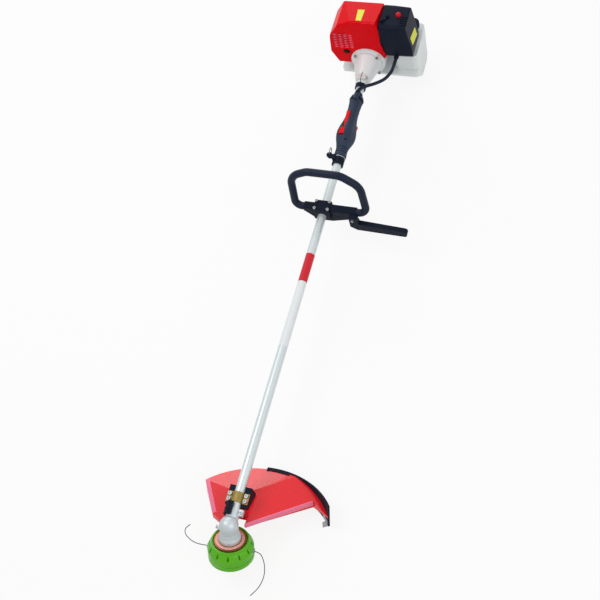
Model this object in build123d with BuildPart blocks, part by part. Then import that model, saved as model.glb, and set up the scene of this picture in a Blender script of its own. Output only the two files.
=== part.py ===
from build123d import *
import os
from math import acos, atan, cos, degrees, pi, radians, sin, sqrt, tan

os.makedirs("parts", exist_ok=True)

# Sizes in millimetres. Stations run along the shaft from the clutch housing's mouth, plus towards
# the engine. Heights z are measured from the shaft's axis, and x is across the tool.

# Clearances
FIT = 0.05
RUN = 0.05
GAP = 0.4

# Stance: the shaft lies level, and the tool rests on the tank's foot and the guard's rim
SHAFT_HEIGHT = 140.0
FOOT_STATION = 212.0

# Drive tube and drive shaft
TUBE_OD = 26.0
TUBE_WALL = 1.5
TUBE_SPAN = 1396.0
REAR_SOCKET = 40.0
CASE_SOCKET = 14.0
SHAFT_OD = 8.0
BUSH_LENGTH = 18.0
BUSH_COUNT = 5

# Clutch housing and clutch
HOUSING_LENGTH = 100.0
HOUSING_NECK = 12.0
HOUSING_MOUTH_R = 19.0
HOUSING_WALL = 4.0
SLOT_LENGTH = 34.0
FLANGE_THICK = 12.0
SCREW_CIRCLE_R = 50.0
LUG_R = 6.0
SCREW_R = 2.5
SCREW_HEAD_R = 4.25
SCREW_HEAD_H = 5.0
BEARING_W = 12.0
DRUM_HUB_R = 6.0
DRUM_R = 29.5
DRUM_WALL = 2.5
DRUM_DEPTH = 30.0
SHOE_GAP = 1.5
COLLAR_LENGTH = 14.0
COLLAR_WALL = 4.5

# Engine
FAN_CASE_R = 56.0
FAN_CASE_WALL = 11.0
FAN_CASE_LENGTH = 26.0
FLYWHEEL_THICK = 16.0
FAN_BLADES = 16
CRANK_R = 6.0
CRANKCASE_LENGTH = 52.0
CRANKCASE_R = 38.0
DECK_Z = 40.0
BARREL_R = 21.0
FIN_X = 72.0
FIN_Y = 66.0
FIN_THICK = 2.2
FIN_PITCH = 8.0
FIN_COUNT = 7
FIN_START = 18.0
MUFFLER_X = 56.0
MUFFLER_Y = 50.0
MUFFLER_Z = 78.0
EXHAUST_X = -67.0
EXHAUST_Z = 37.0
EXHAUST_R = 8.0
COVER_WALL = 2.5
COVER_FRONT = 102.0
COVER_REAR = 206.0
COVER_TOP = 172.0
COVER_REAR_TOP = 150.0

# Intake side
CARB_X = 24.0
FILTER_BASE_T = 6.0
FILTER_DEPTH = 68.0
FILTER_Y = 100.0
FILTER_Z = 134.0
FILTER_MID_Z = 86.0
FILTER_WALL = 2.5
PRIMER_R = 8.5
PRIMER_TRAVEL = 4.0

# Fuel tank
TANK_LEFT = -99.0
TANK_RIGHT = 150.0
TANK_TOP = -60.0
TANK_SHOULDER = 4.0
TANK_WALL = 3.0
TANK_CORNER_R = 16.0
NECK_X = 118.0
NECK_STATION = 244.0
NECK_R = 15.0
NECK_H = 24.0
CAP_R = 19.0
CAP_H = 22.0

# Recoil starter
STARTER_R = 50.0
STARTER_LENGTH = 60.0
STARTER_WALL = 3.0
PULLEY_R = 28.0
PULLEY_W = 14.0
ROPE_D = 4.0

# Rear handle, rolled so that its trigger leans towards the left hand
HANDLE_ROLL = 20.0
HANDLE_TOP = -48.0
HANDLE_END = -281.0
GRIP_W = 38.0
GRIP_H = 40.0
BOX_W = 50.0
BOX_H = 58.0
TRIGGER_W = 10.0
TRIGGER_PIN_R = 2.0
SWITCH_W = 19.0
SWITCH_L = 24.0
SWITCH_TRAVEL = 5.0

# Harness clamp and loop handle
HARNESS_STATION = -285.0
HARNESS_LENGTH = 24.0
CLAMP_WALL = 5.0
RING_R = 11.0
RING_WIRE_R = 1.6
LOOP_STATION = -474.0
LOOP_LEAN = 12.0
LOOP_GRIP_R = 11.5
LOOP_LEFT = -84.0
LOOP_RIGHT = 130.0
LOOP_TOP = 138.0
BAR_LEFT = -56.0
BAR_RIGHT = 104.0
BAR_H = 24.0
BAR_T = 24.0
BLOCK_W = 52.0
BLOCK_L = 36.0
BARRIER_REACH = 256.0
BARRIER_H = 20.0
BARRIER_T = 16.0

# Gear head: spindle stands at this angle to the shaft
SPINDLE_ANGLE = 60.0
CASE_REACH = 50.0
CASE_R = 25.0
CASE_NECK_R = 17.5
CASE_BOTTOM = -38.0
PINION_TEETH = 14
GEAR_TEETH = 19
MODULE = 1.5
FACE_WIDTH = 7.0
BACKLASH = 0.16
SPINDLE_R = 6.0
FLANGE_R = 42.0
FLANGE_TOP = -41.0
FLANGE_T = 8.0

# Trimmer head
HEAD_R = 61.0
HEAD_TOP = -43.0
HEAD_SPLIT = -92.0
HEAD_BOTTOM = -106.0
HEAD_WALL = 4.0
LINE_D = 2.4
LINE_LEVEL = -75.0
LINE_ANGLE = 8.0
KNOB_R = 23.0
KNOB_DROP = 10.0
TAP_TRAVEL = 5.0

# Debris guard
RIM_R = 211.0
RIM_X = 50.0
RIM_Q = 13.0
GUARD_TOP = 12.0
GUARD_WALL = 3.0
SKIRT_T = 5.0
SKIRT_DROP = 58.0
STRAP_STATION = -1366.0
STRAP_LENGTH = 28.0
STRAP_T = 3.0
STRAP_EAR = 16.0
BOLT_R = 3.0

# Derived sizes
TUBE_R = TUBE_OD / 2
TUBE_BORE_R = TUBE_R - TUBE_WALL
SHAFT_R = SHAFT_OD / 2
MOUTH_Y = -FOOT_STATION
GEAR_STATION = -TUBE_SPAN - CASE_REACH
BEARING_START = REAR_SOCKET + HOUSING_WALL
DRUM_START = BEARING_START + BEARING_W + HOUSING_WALL
DRUM_END = DRUM_START + DRUM_DEPTH
FAN_BORE_R = FAN_CASE_R - FAN_CASE_WALL
FLYWHEEL_R = FAN_BORE_R - 3 * GAP
CASE_FACE = HOUSING_LENGTH + FAN_CASE_LENGTH
CRANK_END = CASE_FACE + CRANKCASE_LENGTH
CYL_STATION = CASE_FACE + CRANKCASE_LENGTH / 2
CYL_TOP = DECK_Z + FIN_START + FIN_PITCH * (FIN_COUNT - 1) + FIN_THICK
SHOE_R = DRUM_R - DRUM_WALL - SHOE_GAP


def across(station):
    """Plane square to the shaft at a station, with x across and z up, facing the trimmer head."""
    return Plane(origin=(0, MOUTH_Y + station, SHAFT_HEIGHT), x_dir=(1, 0, 0), z_dir=(0, -1, 0))


def beside(x):
    """Upright plane along the shaft at x, holding (station, z), facing +x."""
    return Plane(origin=(x, MOUTH_Y, SHAFT_HEIGHT), x_dir=(0, 1, 0), z_dir=(1, 0, 0))


def above(z):
    """Level plane at height z over the shaft's axis, holding (x, station), facing up."""
    return Plane(origin=(0, MOUTH_Y, SHAFT_HEIGHT + z), x_dir=(1, 0, 0), z_dir=(0, 0, 1))


SHAFT_AXIS = Axis((0, 0, SHAFT_HEIGHT), (0, 1, 0))
SPINDLE_UP = Vector(0, cos(radians(SPINDLE_ANGLE)), sin(radians(SPINDLE_ANGLE)))
SPINDLE_BACK = Vector(0, sin(radians(SPINDLE_ANGLE)), -cos(radians(SPINDLE_ANGLE)))
HEAD = Plane(origin=(0, MOUTH_Y + GEAR_STATION, SHAFT_HEIGHT), x_dir=(1, 0, 0), z_dir=SPINDLE_UP)
HEAD_SIDE = Plane(origin=HEAD.origin, x_dir=(1, 0, 0), z_dir=SPINDLE_BACK * -1)
SPINDLE_AXIS = Axis(HEAD.origin, SPINDLE_UP)
ROLL = radians(HANDLE_ROLL)
HANDLE_SIDE = Plane(origin=(0, MOUTH_Y, SHAFT_HEIGHT), x_dir=(0, 1, 0), z_dir=(cos(ROLL), 0, sin(ROLL)))


def handle_across(station):
    """Plane square to the shaft in the handle's rolled frame, holding (side, up)."""
    return Plane(origin=(0, MOUTH_Y + station, SHAFT_HEIGHT),
                 x_dir=(cos(ROLL), 0, sin(ROLL)), z_dir=(0, -1, 0))


def write(piece, label):
    """Label a finished piece and write it as its own file."""
    piece.part.label = label
    export_step(piece.part, f"parts/{label}.step")


def ring(station, length, outer, inner):
    """Add a plain ring round the shaft, from its station back towards the trimmer head."""
    with BuildSketch(across(station)) as section:
        Circle(outer)
        Circle(inner, mode=Mode.SUBTRACT)
    extrude(section.sketch, amount=length)


# Drive tube, its bushes and the drive shaft
with BuildPart() as drive_tube:
    ring(REAR_SOCKET, REAR_SOCKET + TUBE_SPAN + CASE_SOCKET, TUBE_R, TUBE_BORE_R)
write(drive_tube, "drive_tube")

BUSH_STEP = (TUBE_SPAN - BUSH_LENGTH) / (BUSH_COUNT - 1)
with BuildPart() as shaft_bushes:
    for place in range(BUSH_COUNT):
        ring(-place * BUSH_STEP, BUSH_LENGTH, TUBE_BORE_R - FIT, SHAFT_R + RUN)
write(shaft_bushes, "shaft_bushes")

PINION_ANGLE = atan(sin(radians(SPINDLE_ANGLE))
                    / (GEAR_TEETH / PINION_TEETH + cos(radians(SPINDLE_ANGLE))))
GEAR_ANGLE = radians(SPINDLE_ANGLE) - PINION_ANGLE
CONE = MODULE * PINION_TEETH / 2 / sin(PINION_ANGLE)
PINION_NOSE = (CONE - FACE_WIDTH) * cos(PINION_ANGLE)
PINION_BACK = CONE * cos(PINION_ANGLE) + MODULE
with BuildPart() as drive_shaft:
    with BuildSketch(across(DRUM_START - FIT)):
        Circle(SHAFT_R)
    extrude(amount=DRUM_START - FIT - GEAR_STATION - PINION_NOSE)
write(drive_shaft, "drive_shaft")

# Clutch housing: a cast cone with ribs, a split clamp at its mouth and a bolted flange
NECK_END_R = HOUSING_MOUTH_R + 2
CAVITY_R = DRUM_R + 3
CONE_END_R = CAVITY_R + 3 * HOUSING_WALL
with BuildPart() as clutch_housing:
    with BuildSketch(beside(0)):
        with BuildLine():
            Polyline((0, TUBE_R + FIT), (0, HOUSING_MOUTH_R), (HOUSING_NECK, NECK_END_R),
                     (HOUSING_LENGTH - FLANGE_THICK, CONE_END_R),
                     (HOUSING_LENGTH - FLANGE_THICK, SCREW_CIRCLE_R - LUG_R + 3),
                     (HOUSING_LENGTH, SCREW_CIRCLE_R - LUG_R + 3), (HOUSING_LENGTH, CAVITY_R),
                     (DRUM_START + 2, CAVITY_R), (DRUM_START - 1, CAVITY_R - 2),
                     (DRUM_START - 1, TUBE_R + HOUSING_WALL),
                     (DRUM_START - HOUSING_WALL, TUBE_R + FIT), (BEARING_START, TUBE_R + FIT),
                     (BEARING_START, TUBE_R - HOUSING_WALL), (REAR_SOCKET, TUBE_R - HOUSING_WALL),
                     (REAR_SOCKET, TUBE_R + FIT), (0, TUBE_R + FIT))
        make_face()
    revolve(axis=SHAFT_AXIS)
    with BuildSketch(across(HOUSING_LENGTH)):
        with PolarLocations(SCREW_CIRCLE_R, 4, start_angle=45):
            Circle(LUG_R)
    extrude(amount=FLANGE_THICK)
    for turn in range(30, 390, 60):
        with BuildSketch(beside(0).rotated((0, turn, 0))):
            Polygon((HOUSING_NECK + 16, HOUSING_MOUTH_R + 2), (HOUSING_LENGTH - FLANGE_THICK, CONE_END_R - 2),
                    (HOUSING_LENGTH - FLANGE_THICK, SCREW_CIRCLE_R - LUG_R), align=None)
        extrude(amount=1.5, both=True)
    with BuildSketch(across(26)):
        with Locations((0, HOUSING_MOUTH_R + 1)):
            RectangleRounded(30, 14, 4)
        Circle(TUBE_R + FIT, mode=Mode.SUBTRACT)
    extrude(amount=20)
    with BuildSketch(across(SLOT_LENGTH)):
        with Locations((0, HOUSING_MOUTH_R + 4)):
            Rectangle(3, 20)
    extrude(amount=SLOT_LENGTH, mode=Mode.SUBTRACT)
    with BuildSketch(beside(-20)):
        with Locations((16, HOUSING_MOUTH_R + 2.6)):
            Circle(SCREW_R + FIT)
    extrude(amount=40, mode=Mode.SUBTRACT)
    with BuildSketch(across(HOUSING_LENGTH)):
        with PolarLocations(SCREW_CIRCLE_R, 4, start_angle=45):
            Circle(SCREW_R + FIT)
    extrude(amount=FLANGE_THICK, mode=Mode.SUBTRACT)
write(clutch_housing, "clutch_housing")

with BuildPart() as tube_collar:
    ring(0, COLLAR_LENGTH, TUBE_R + COLLAR_WALL, TUBE_R + FIT)
    for groove in (4, 9):
        with BuildSketch(across(-groove)):
            Circle(TUBE_R + COLLAR_WALL + 1)
            Circle(TUBE_R + COLLAR_WALL - 1, mode=Mode.SUBTRACT)
        extrude(amount=1.5, mode=Mode.SUBTRACT)
write(tube_collar, "tube_collar")

with BuildPart() as clutch_drum:
    with BuildSketch(beside(0)):
        Polygon((BEARING_START, SHAFT_R + FIT), (BEARING_START, DRUM_HUB_R), (DRUM_START, DRUM_HUB_R),
                (DRUM_START, DRUM_R), (DRUM_END, DRUM_R), (DRUM_END, DRUM_R - DRUM_WALL),
                (DRUM_START + DRUM_WALL, DRUM_R - DRUM_WALL), (DRUM_START + DRUM_WALL, SHAFT_R + FIT),
                align=None)
    revolve(axis=SHAFT_AXIS)
write(clutch_drum, "clutch_drum")

# Crankshaft, flywheel with fan blades, and the two clutch shoes on their pins
SHOE_START = DRUM_START + DRUM_WALL + 2
FLYWHEEL_FRONT = HOUSING_LENGTH + 4
PIN_R = 3.0
PIN_CIRCLE_R = SHOE_R - 8
with BuildPart() as crankshaft:
    with BuildSketch(across(CRANK_END + 8)):
        Circle(CRANK_R)
    extrude(amount=CRANK_END + 8 - SHOE_START)
write(crankshaft, "crankshaft")

with BuildPart() as flywheel:
    ring(FLYWHEEL_FRONT + FLYWHEEL_THICK, FLYWHEEL_THICK, 14, CRANK_R + FIT)
    ring(FLYWHEEL_FRONT + FLYWHEEL_THICK, 5, FLYWHEEL_R, CRANK_R + FIT)
    with BuildSketch(across(FLYWHEEL_FRONT + FLYWHEEL_THICK - 5)):
        with PolarLocations((FLYWHEEL_R + 18) / 2, FAN_BLADES):
            Rectangle(FLYWHEEL_R - 19, 2.5)
    extrude(amount=FLYWHEEL_THICK - 5)
    ring(FLYWHEEL_FRONT, FLYWHEEL_FRONT - DRUM_END - 1, SHOE_R - 4, CRANK_R + FIT)
    with BuildSketch(across(DRUM_END + 1)):
        with PolarLocations(PIN_CIRCLE_R, 2):
            Circle(PIN_R)
    extrude(amount=DRUM_END + 1 - SHOE_START)
write(flywheel, "flywheel")

with BuildPart() as clutch_shoes:
    with BuildSketch(across(DRUM_END - 1)):
        Circle(SHOE_R)
        Circle(CRANK_R + 5, mode=Mode.SUBTRACT)
        with PolarLocations(SHOE_R, 2, start_angle=22):
            Rectangle(2 * SHOE_R, 5, mode=Mode.SUBTRACT)
        with PolarLocations(PIN_CIRCLE_R, 2):
            Circle(PIN_R + FIT, mode=Mode.SUBTRACT)
    extrude(amount=DRUM_END - 1 - SHOE_START)
write(clutch_shoes, "clutch_shoes")

# Crankcase with the fan case cast in front, and the finned cylinder on its deck
with BuildPart() as crankcase:
    ring(CASE_FACE, FAN_CASE_LENGTH, FAN_CASE_R, FAN_BORE_R)
    ring(HOUSING_LENGTH + 3, 3, FAN_CASE_R, CAVITY_R)
    ring(CASE_FACE + 4, 4, FAN_CASE_R, CRANK_R + RUN)
    ring(CRANK_END, CRANKCASE_LENGTH, CRANKCASE_R, CRANK_R + RUN)
    with BuildSketch(above(DECK_Z)):
        with Locations((0, CYL_STATION)):
            RectangleRounded(60, CRANKCASE_LENGTH - 2, 6)
    extrude(amount=TANK_TOP - DECK_Z)
    with BuildSketch(across(CRANK_END)):
        Circle(CRANK_R + RUN)
    extrude(amount=CRANKCASE_LENGTH + 4, mode=Mode.SUBTRACT)
    with BuildSketch(across(HOUSING_LENGTH + 16)):
        with PolarLocations(SCREW_CIRCLE_R, 4, start_angle=45):
            Circle(SCREW_R + FIT)
    extrude(amount=16, mode=Mode.SUBTRACT)
write(crankcase, "crankcase")

with BuildPart() as cylinder:
    with BuildSketch(above(DECK_Z)):
        with Locations((0, CYL_STATION)):
            RectangleRounded(58, CRANKCASE_LENGTH - 10, 6)
    extrude(amount=6)
    with BuildSketch(above(DECK_Z)):
        with Locations((0, CYL_STATION)):
            Circle(BARREL_R)
    extrude(amount=CYL_TOP - DECK_Z)
    for fin in range(FIN_COUNT):
        with BuildSketch(above(DECK_Z + FIN_START + fin * FIN_PITCH)):
            with Locations((0, CYL_STATION)):
                RectangleRounded(FIN_X, FIN_Y, 14)
        extrude(amount=FIN_THICK)
    with BuildSketch(beside(-FIN_X / 2 - 12)):
        with Locations((CYL_STATION, DECK_Z + 34)):
            RectangleRounded(32, 30, 5)
    extrude(amount=FIN_X + 24)
    with BuildSketch(above(CYL_TOP)):
        with Locations((0, CYL_STATION)):
            Circle(5 + FIT)
    extrude(amount=-14, mode=Mode.SUBTRACT)
write(cylinder, "cylinder")

with BuildPart() as spark_plug:
    with BuildSketch(Plane(origin=(0, MOUTH_Y + CYL_STATION, SHAFT_HEIGHT + CYL_TOP), x_dir=(1, 0, 0),
                           z_dir=(0, -1, 0))):
        with BuildLine():
            Polyline((0, -13), (5, -13), (5, 0), (8, 0), (8, 7), (5, 7), (4, 12), (4, 22), (0, 22), close=True)
        make_face()
    revolve(axis=Axis((0, MOUTH_Y + CYL_STATION, 0), (0, 0, 1)))
write(spark_plug, "spark_plug")

PORT_X = FIN_X / 2 + 12
COIL_STATION = HOUSING_LENGTH + 13
with BuildPart() as ignition_coil:
    with BuildSketch(above(FAN_CASE_R)):
        with Locations((0, COIL_STATION)):
            RectangleRounded(44, 10, 3)
    extrude(amount=24)
    with BuildSketch(above(CYL_TOP + 13)):
        with Locations((0, CYL_STATION)):
            Circle(9)
            Circle(4 + FIT, mode=Mode.SUBTRACT)
    extrude(amount=10)
    with BuildSketch(above(CYL_TOP + 23)):
        with Locations((0, CYL_STATION)):
            Circle(9)
    extrude(amount=3)
    lead_top = (0, MOUTH_Y + CYL_STATION - 8, SHAFT_HEIGHT + CYL_TOP + 18)
    lead_low = (0, MOUTH_Y + COIL_STATION, SHAFT_HEIGHT + FAN_CASE_R + 23)
    with BuildLine() as lead:
        FilletPolyline(lead_top, (0, lead_low[1], lead_top[2]), lead_low, radius=14)
    with BuildSketch(Plane(origin=lead.line @ 0, z_dir=lead.line % 0)):
        Circle(3)
    sweep()
write(ignition_coil, "ignition_coil")

# Muffler: a pressed box on the exhaust port with an outlet pipe to the cover's front
MUFFLER_MID_X = -PORT_X - MUFFLER_X / 2
with BuildPart() as muffler:
    with BuildSketch(above(DECK_Z + 34 - MUFFLER_Z / 2 - 16)):
        with Locations((MUFFLER_MID_X, CYL_STATION)):
            RectangleRounded(MUFFLER_X, MUFFLER_Y, 12)
    extrude(amount=MUFFLER_Z)
    fillet(muffler.faces().filter_by(Axis.Z).edges(), radius=6)
    with BuildSketch(across(CYL_STATION - MUFFLER_Y / 2 + 4)):
        with Locations((EXHAUST_X, EXHAUST_Z)):
            Circle(EXHAUST_R)
    extrude(amount=CYL_STATION - MUFFLER_Y / 2 + 4 - COVER_FRONT - 6)
    with BuildSketch(across(CYL_STATION - MUFFLER_Y / 2 + 4)):
        with Locations((EXHAUST_X, EXHAUST_Z)):
            Circle(EXHAUST_R - 1.5)
    extrude(amount=CYL_STATION - MUFFLER_Y / 2 + 4 - COVER_FRONT - 6, mode=Mode.SUBTRACT)
write(muffler, "muffler")

# Engine cover: a moulded hood over cylinder and muffler, arched over the fan case
ARCH_R = FAN_CASE_R + GAP
HOOD_LOW_Z = -13.0
HOOD_RIGHT_Z = 18.0
HOOD_RIGHT = 47.0
HOOD_WAIST_Z = 80.0
WING_X = 61.0
WING_Z = 24.0


def hood_form(inset):
    """Hood solid, every outer wall moved in by inset; the arch stays where it is."""
    with BuildPart() as form:
        with BuildSketch(across(COVER_REAR - inset)) as outline:
            with BuildLine():
                arch_left = (-sqrt(ARCH_R ** 2 - HOOD_LOW_Z ** 2), HOOD_LOW_Z)
                arch_right = (sqrt(ARCH_R ** 2 - HOOD_RIGHT_Z ** 2), HOOD_RIGHT_Z)
                ThreePointArc(arch_left, (0, ARCH_R), arch_right)
                Polyline(arch_right, (WING_X - inset, WING_Z), (HOOD_RIGHT - inset, HOOD_WAIST_Z),
                         (HOOD_RIGHT - inset, 130), (HOOD_RIGHT - 8 - inset, COVER_TOP - inset),
                         (-38, COVER_TOP - inset),
                         (-86 + inset / 2, 148 - inset), (-114 + inset, 104), (-119 + inset, 34),
                         (-98 + inset, HOOD_LOW_Z), arch_left)
            make_face()
            corners = outline.vertices().filter_by(lambda v: v.Z > SHAFT_HEIGHT + 90)
            fillet(corners, radius=18 - inset)
        extrude(amount=COVER_REAR - COVER_FRONT - 2 * inset)
        with BuildSketch(beside(-130)):
            Polygon((COVER_FRONT - 1, COVER_TOP - inset), (COVER_REAR + 1, COVER_REAR_TOP - inset),
                    (COVER_REAR + 1, COVER_TOP + 5), (COVER_FRONT - 1, COVER_TOP + 5), align=None)
        extrude(amount=260, mode=Mode.SUBTRACT)
    return form.part


with BuildPart() as engine_cover:
    add(hood_form(0))
    front = engine_cover.faces().sort_by(Axis.Y)[0]
    fillet(front.outer_wire().edges().filter_by(lambda e: e.center().Z > SHAFT_HEIGHT + 70), radius=7)
    add(hood_form(COVER_WALL), mode=Mode.SUBTRACT)
    with BuildSketch(across(COVER_REAR - COVER_WALL)):
        Circle(ARCH_R + 4)
        with Locations((-20, 0)):
            Rectangle(150, 2 * ARCH_R)
    extrude(amount=COVER_REAR - COVER_FRONT - 2 * COVER_WALL, mode=Mode.SUBTRACT)
    with BuildSketch(beside(40)):
        with Locations((CYL_STATION, DECK_Z + 34)):
            RectangleRounded(50, 60, 6)
    extrude(amount=40, mode=Mode.SUBTRACT)
    with BuildSketch(across(COVER_FRONT + COVER_WALL)):
        with Locations((EXHAUST_X, EXHAUST_Z)):
            Circle(EXHAUST_R + 4)
        with Locations((-80, 96)):
            with GridLocations(17, 8, 3, 6):
                SlotOverall(13, 3.4)
    extrude(amount=12, mode=Mode.SUBTRACT)
    with BuildSketch(beside(-104)):
        with Locations((CYL_STATION, 70)):
            with GridLocations(17, 8, 5, 8):
                SlotOverall(13, 3.4)
    extrude(amount=-30, mode=Mode.SUBTRACT)
    with BuildSketch(across(COVER_REAR)):
        with Locations((-20, 100)):
            with GridLocations(30, 9, 4, 6):
                SlotOverall(24, 4)
    extrude(amount=COVER_WALL + 1, mode=Mode.SUBTRACT)
write(engine_cover, "engine_cover")

# Carburettor on the intake port, inside the filter's box
INTAKE_Z = DECK_Z + 34
CARB_FACE = PORT_X + CARB_X
FILTER_STATION = 156.0
with BuildPart() as carburettor:
    with BuildSketch(beside(PORT_X)):
        with Locations((CYL_STATION, INTAKE_Z)):
            RectangleRounded(36, 34, 4)
    extrude(amount=3)
    with BuildSketch(beside(PORT_X)):
        with Locations((CYL_STATION, INTAKE_Z)):
            RectangleRounded(28, 30, 5)
    extrude(amount=CARB_X)
    with BuildSketch(above(INTAKE_Z - 22)):
        with Locations((PORT_X + CARB_X / 2, CYL_STATION)):
            Circle(CARB_X / 2 - 2)
    extrude(amount=10)
    with BuildSketch(beside(PORT_X)):
        with Locations((CYL_STATION, INTAKE_Z)):
            Circle(8)
    extrude(amount=CARB_X, mode=Mode.SUBTRACT)
write(carburettor, "carburettor")

# Filter box, element and cover
BOX_LEFT = PORT_X
FILTER_TOP = FILTER_MID_Z + FILTER_Z / 2
CHOKE_X = 66.0
CHOKE_STATION = 152.0
CHOKE_PIN_R = 3.0
BASE_FACE = CARB_FACE + FILTER_BASE_T
with BuildPart() as filter_base:
    with BuildSketch(beside(BOX_LEFT)):
        with Locations((FILTER_STATION, FILTER_MID_Z)):
            RectangleRounded(FILTER_Y, FILTER_Z, 14)
    extrude(amount=BASE_FACE - BOX_LEFT)
    with BuildSketch(beside(BOX_LEFT)):
        with Locations((FILTER_STATION, FILTER_MID_Z)):
            RectangleRounded(FILTER_Y - 2 * FILTER_WALL, FILTER_Z - 2 * FILTER_WALL, 14 - FILTER_WALL)
    extrude(amount=CARB_FACE - BOX_LEFT, mode=Mode.SUBTRACT)
    with BuildSketch(across(COVER_REAR + 20)):
        Polygon((BOX_LEFT - 2, HOOD_WAIST_Z + 8), (WING_X + 6, WING_Z - 12), (BOX_LEFT - 2, WING_Z - 12),
                align=None)
    extrude(amount=140, mode=Mode.SUBTRACT)
    with BuildSketch(beside(CARB_FACE)):
        with Locations((CYL_STATION, INTAKE_Z)):
            Circle(8)
    extrude(amount=FILTER_BASE_T, mode=Mode.SUBTRACT)
    with BuildSketch(above(FILTER_TOP)):
        with Locations((CHOKE_X, CHOKE_STATION)):
            Circle(CHOKE_PIN_R + RUN)
    extrude(amount=-2 * FILTER_WALL, mode=Mode.SUBTRACT)
write(filter_base, "filter_base")

with BuildPart() as filter_element:
    with BuildSketch(beside(BASE_FACE)):
        with Locations((FILTER_STATION, FILTER_MID_Z - 4)):
            RectangleRounded(FILTER_Y - 24, FILTER_Z - 44, 10)
    extrude(amount=24)
write(filter_element, "filter_element")

COVER_FACE_X = BASE_FACE + FILTER_DEPTH
SLANT_TOP_X = COVER_FACE_X - 16
SLANT_LOW_Z = FILTER_MID_Z - FILTER_Z / 2 + 24
GLAND_X = 94.0
GLAND_Z = 28.0
GLAND_STATION = 98.0
CONDUIT_D = 10.5
VENT_X = 120.0
VENT_STATION = 138.0
PRIMER_X = 100.0
PRIMER_STATION = 160.0


def filter_form(inset):
    """Filter cover's solid with every outer wall moved in by inset."""
    with BuildPart() as form:
        with BuildSketch(beside(BASE_FACE)):
            with Locations((FILTER_STATION, FILTER_MID_Z)):
                RectangleRounded(FILTER_Y - 2 * inset, FILTER_Z - 2 * inset, 14 - inset)
        extrude(amount=FILTER_DEPTH - inset, taper=3)
        with BuildSketch(across(FILTER_STATION + FILTER_Y)):
            Polygon((SLANT_TOP_X - inset, FILTER_TOP + 2), (COVER_FACE_X + 1 - inset, SLANT_LOW_Z),
                    (COVER_FACE_X + 20, SLANT_LOW_Z), (COVER_FACE_X + 20, FILTER_TOP + 2), align=None)
        extrude(amount=2 * FILTER_Y, mode=Mode.SUBTRACT)
    return form.part


with BuildPart() as filter_cover:
    add(filter_form(0))
    outer_faces = filter_cover.faces().sort_by(Axis.X)[-2:]
    fillet(outer_faces.edges().filter_by(lambda e: e.center().X > BASE_FACE + 20), radius=5)
    with BuildSketch(across(GLAND_STATION + 16)):
        with Locations((GLAND_X, GLAND_Z)):
            Circle(CONDUIT_D / 2 + 2.5)
    extrude(amount=16)
    add(filter_form(FILTER_WALL), mode=Mode.SUBTRACT)
    with BuildSketch(above(FILTER_TOP + 6)):
        with Locations((VENT_X, VENT_STATION)):
            with GridLocations(1, 8, 1, 5):
                SlotOverall(22, 3.6)
    extrude(amount=-20, mode=Mode.SUBTRACT)
    with BuildSketch(above(FILTER_TOP + 6)):
        with Locations((PRIMER_X, PRIMER_STATION)):
            Circle(PRIMER_R + GAP)
    extrude(amount=-20, mode=Mode.SUBTRACT)
write(filter_cover, "filter_cover")

PRIMER_BASE = FILTER_TOP - 10
with BuildPart() as primer_bulb:
    with BuildSketch(above(PRIMER_BASE)):
        with Locations((PRIMER_X, PRIMER_STATION)):
            Circle(PRIMER_R + 2)
    extrude(amount=2)
    with BuildSketch(above(PRIMER_BASE)):
        with Locations((PRIMER_X, PRIMER_STATION)):
            Circle(PRIMER_R)
    extrude(amount=19)
    fillet(primer_bulb.edges().sort_by(Axis.Z)[-1], radius=PRIMER_R - 1.5)
write(primer_bulb, "primer_bulb")

with BuildPart() as choke_lever:
    with BuildSketch(above(FILTER_TOP + 0.3)):
        with Locations((CHOKE_X, CHOKE_STATION)):
            Circle(8)
        with Locations((CHOKE_X - 6, CHOKE_STATION - 12)):
            Rectangle(9, 28, rotation=-26)
    extrude(amount=5)
    with BuildSketch(above(FILTER_TOP + 5.3)):
        with Locations((CHOKE_X - 11, CHOKE_STATION - 22)):
            SlotOverall(14, 7, rotation=64)
    extrude(amount=5)
    with BuildSketch(above(FILTER_TOP + 5.3)):
        with Locations((CHOKE_X, CHOKE_STATION)):
            Circle(5)
    extrude(amount=2.5)
    with BuildSketch(above(FILTER_TOP + 0.3)):
        with Locations((CHOKE_X, CHOKE_STATION)):
            Circle(CHOKE_PIN_R)
    extrude(amount=-FILTER_WALL - 2)
write(choke_lever, "choke_lever")

# Fuel tank: hollow, with a sloped front, a flat foot, a shoulder and a filler neck
TANK_FRONT = 108.0
TANK_REAR = 270.0
FOOT_HALF = 34.0
SHOULDER_X = 76.0
SHOULDER_FRONT = 128.0


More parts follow.
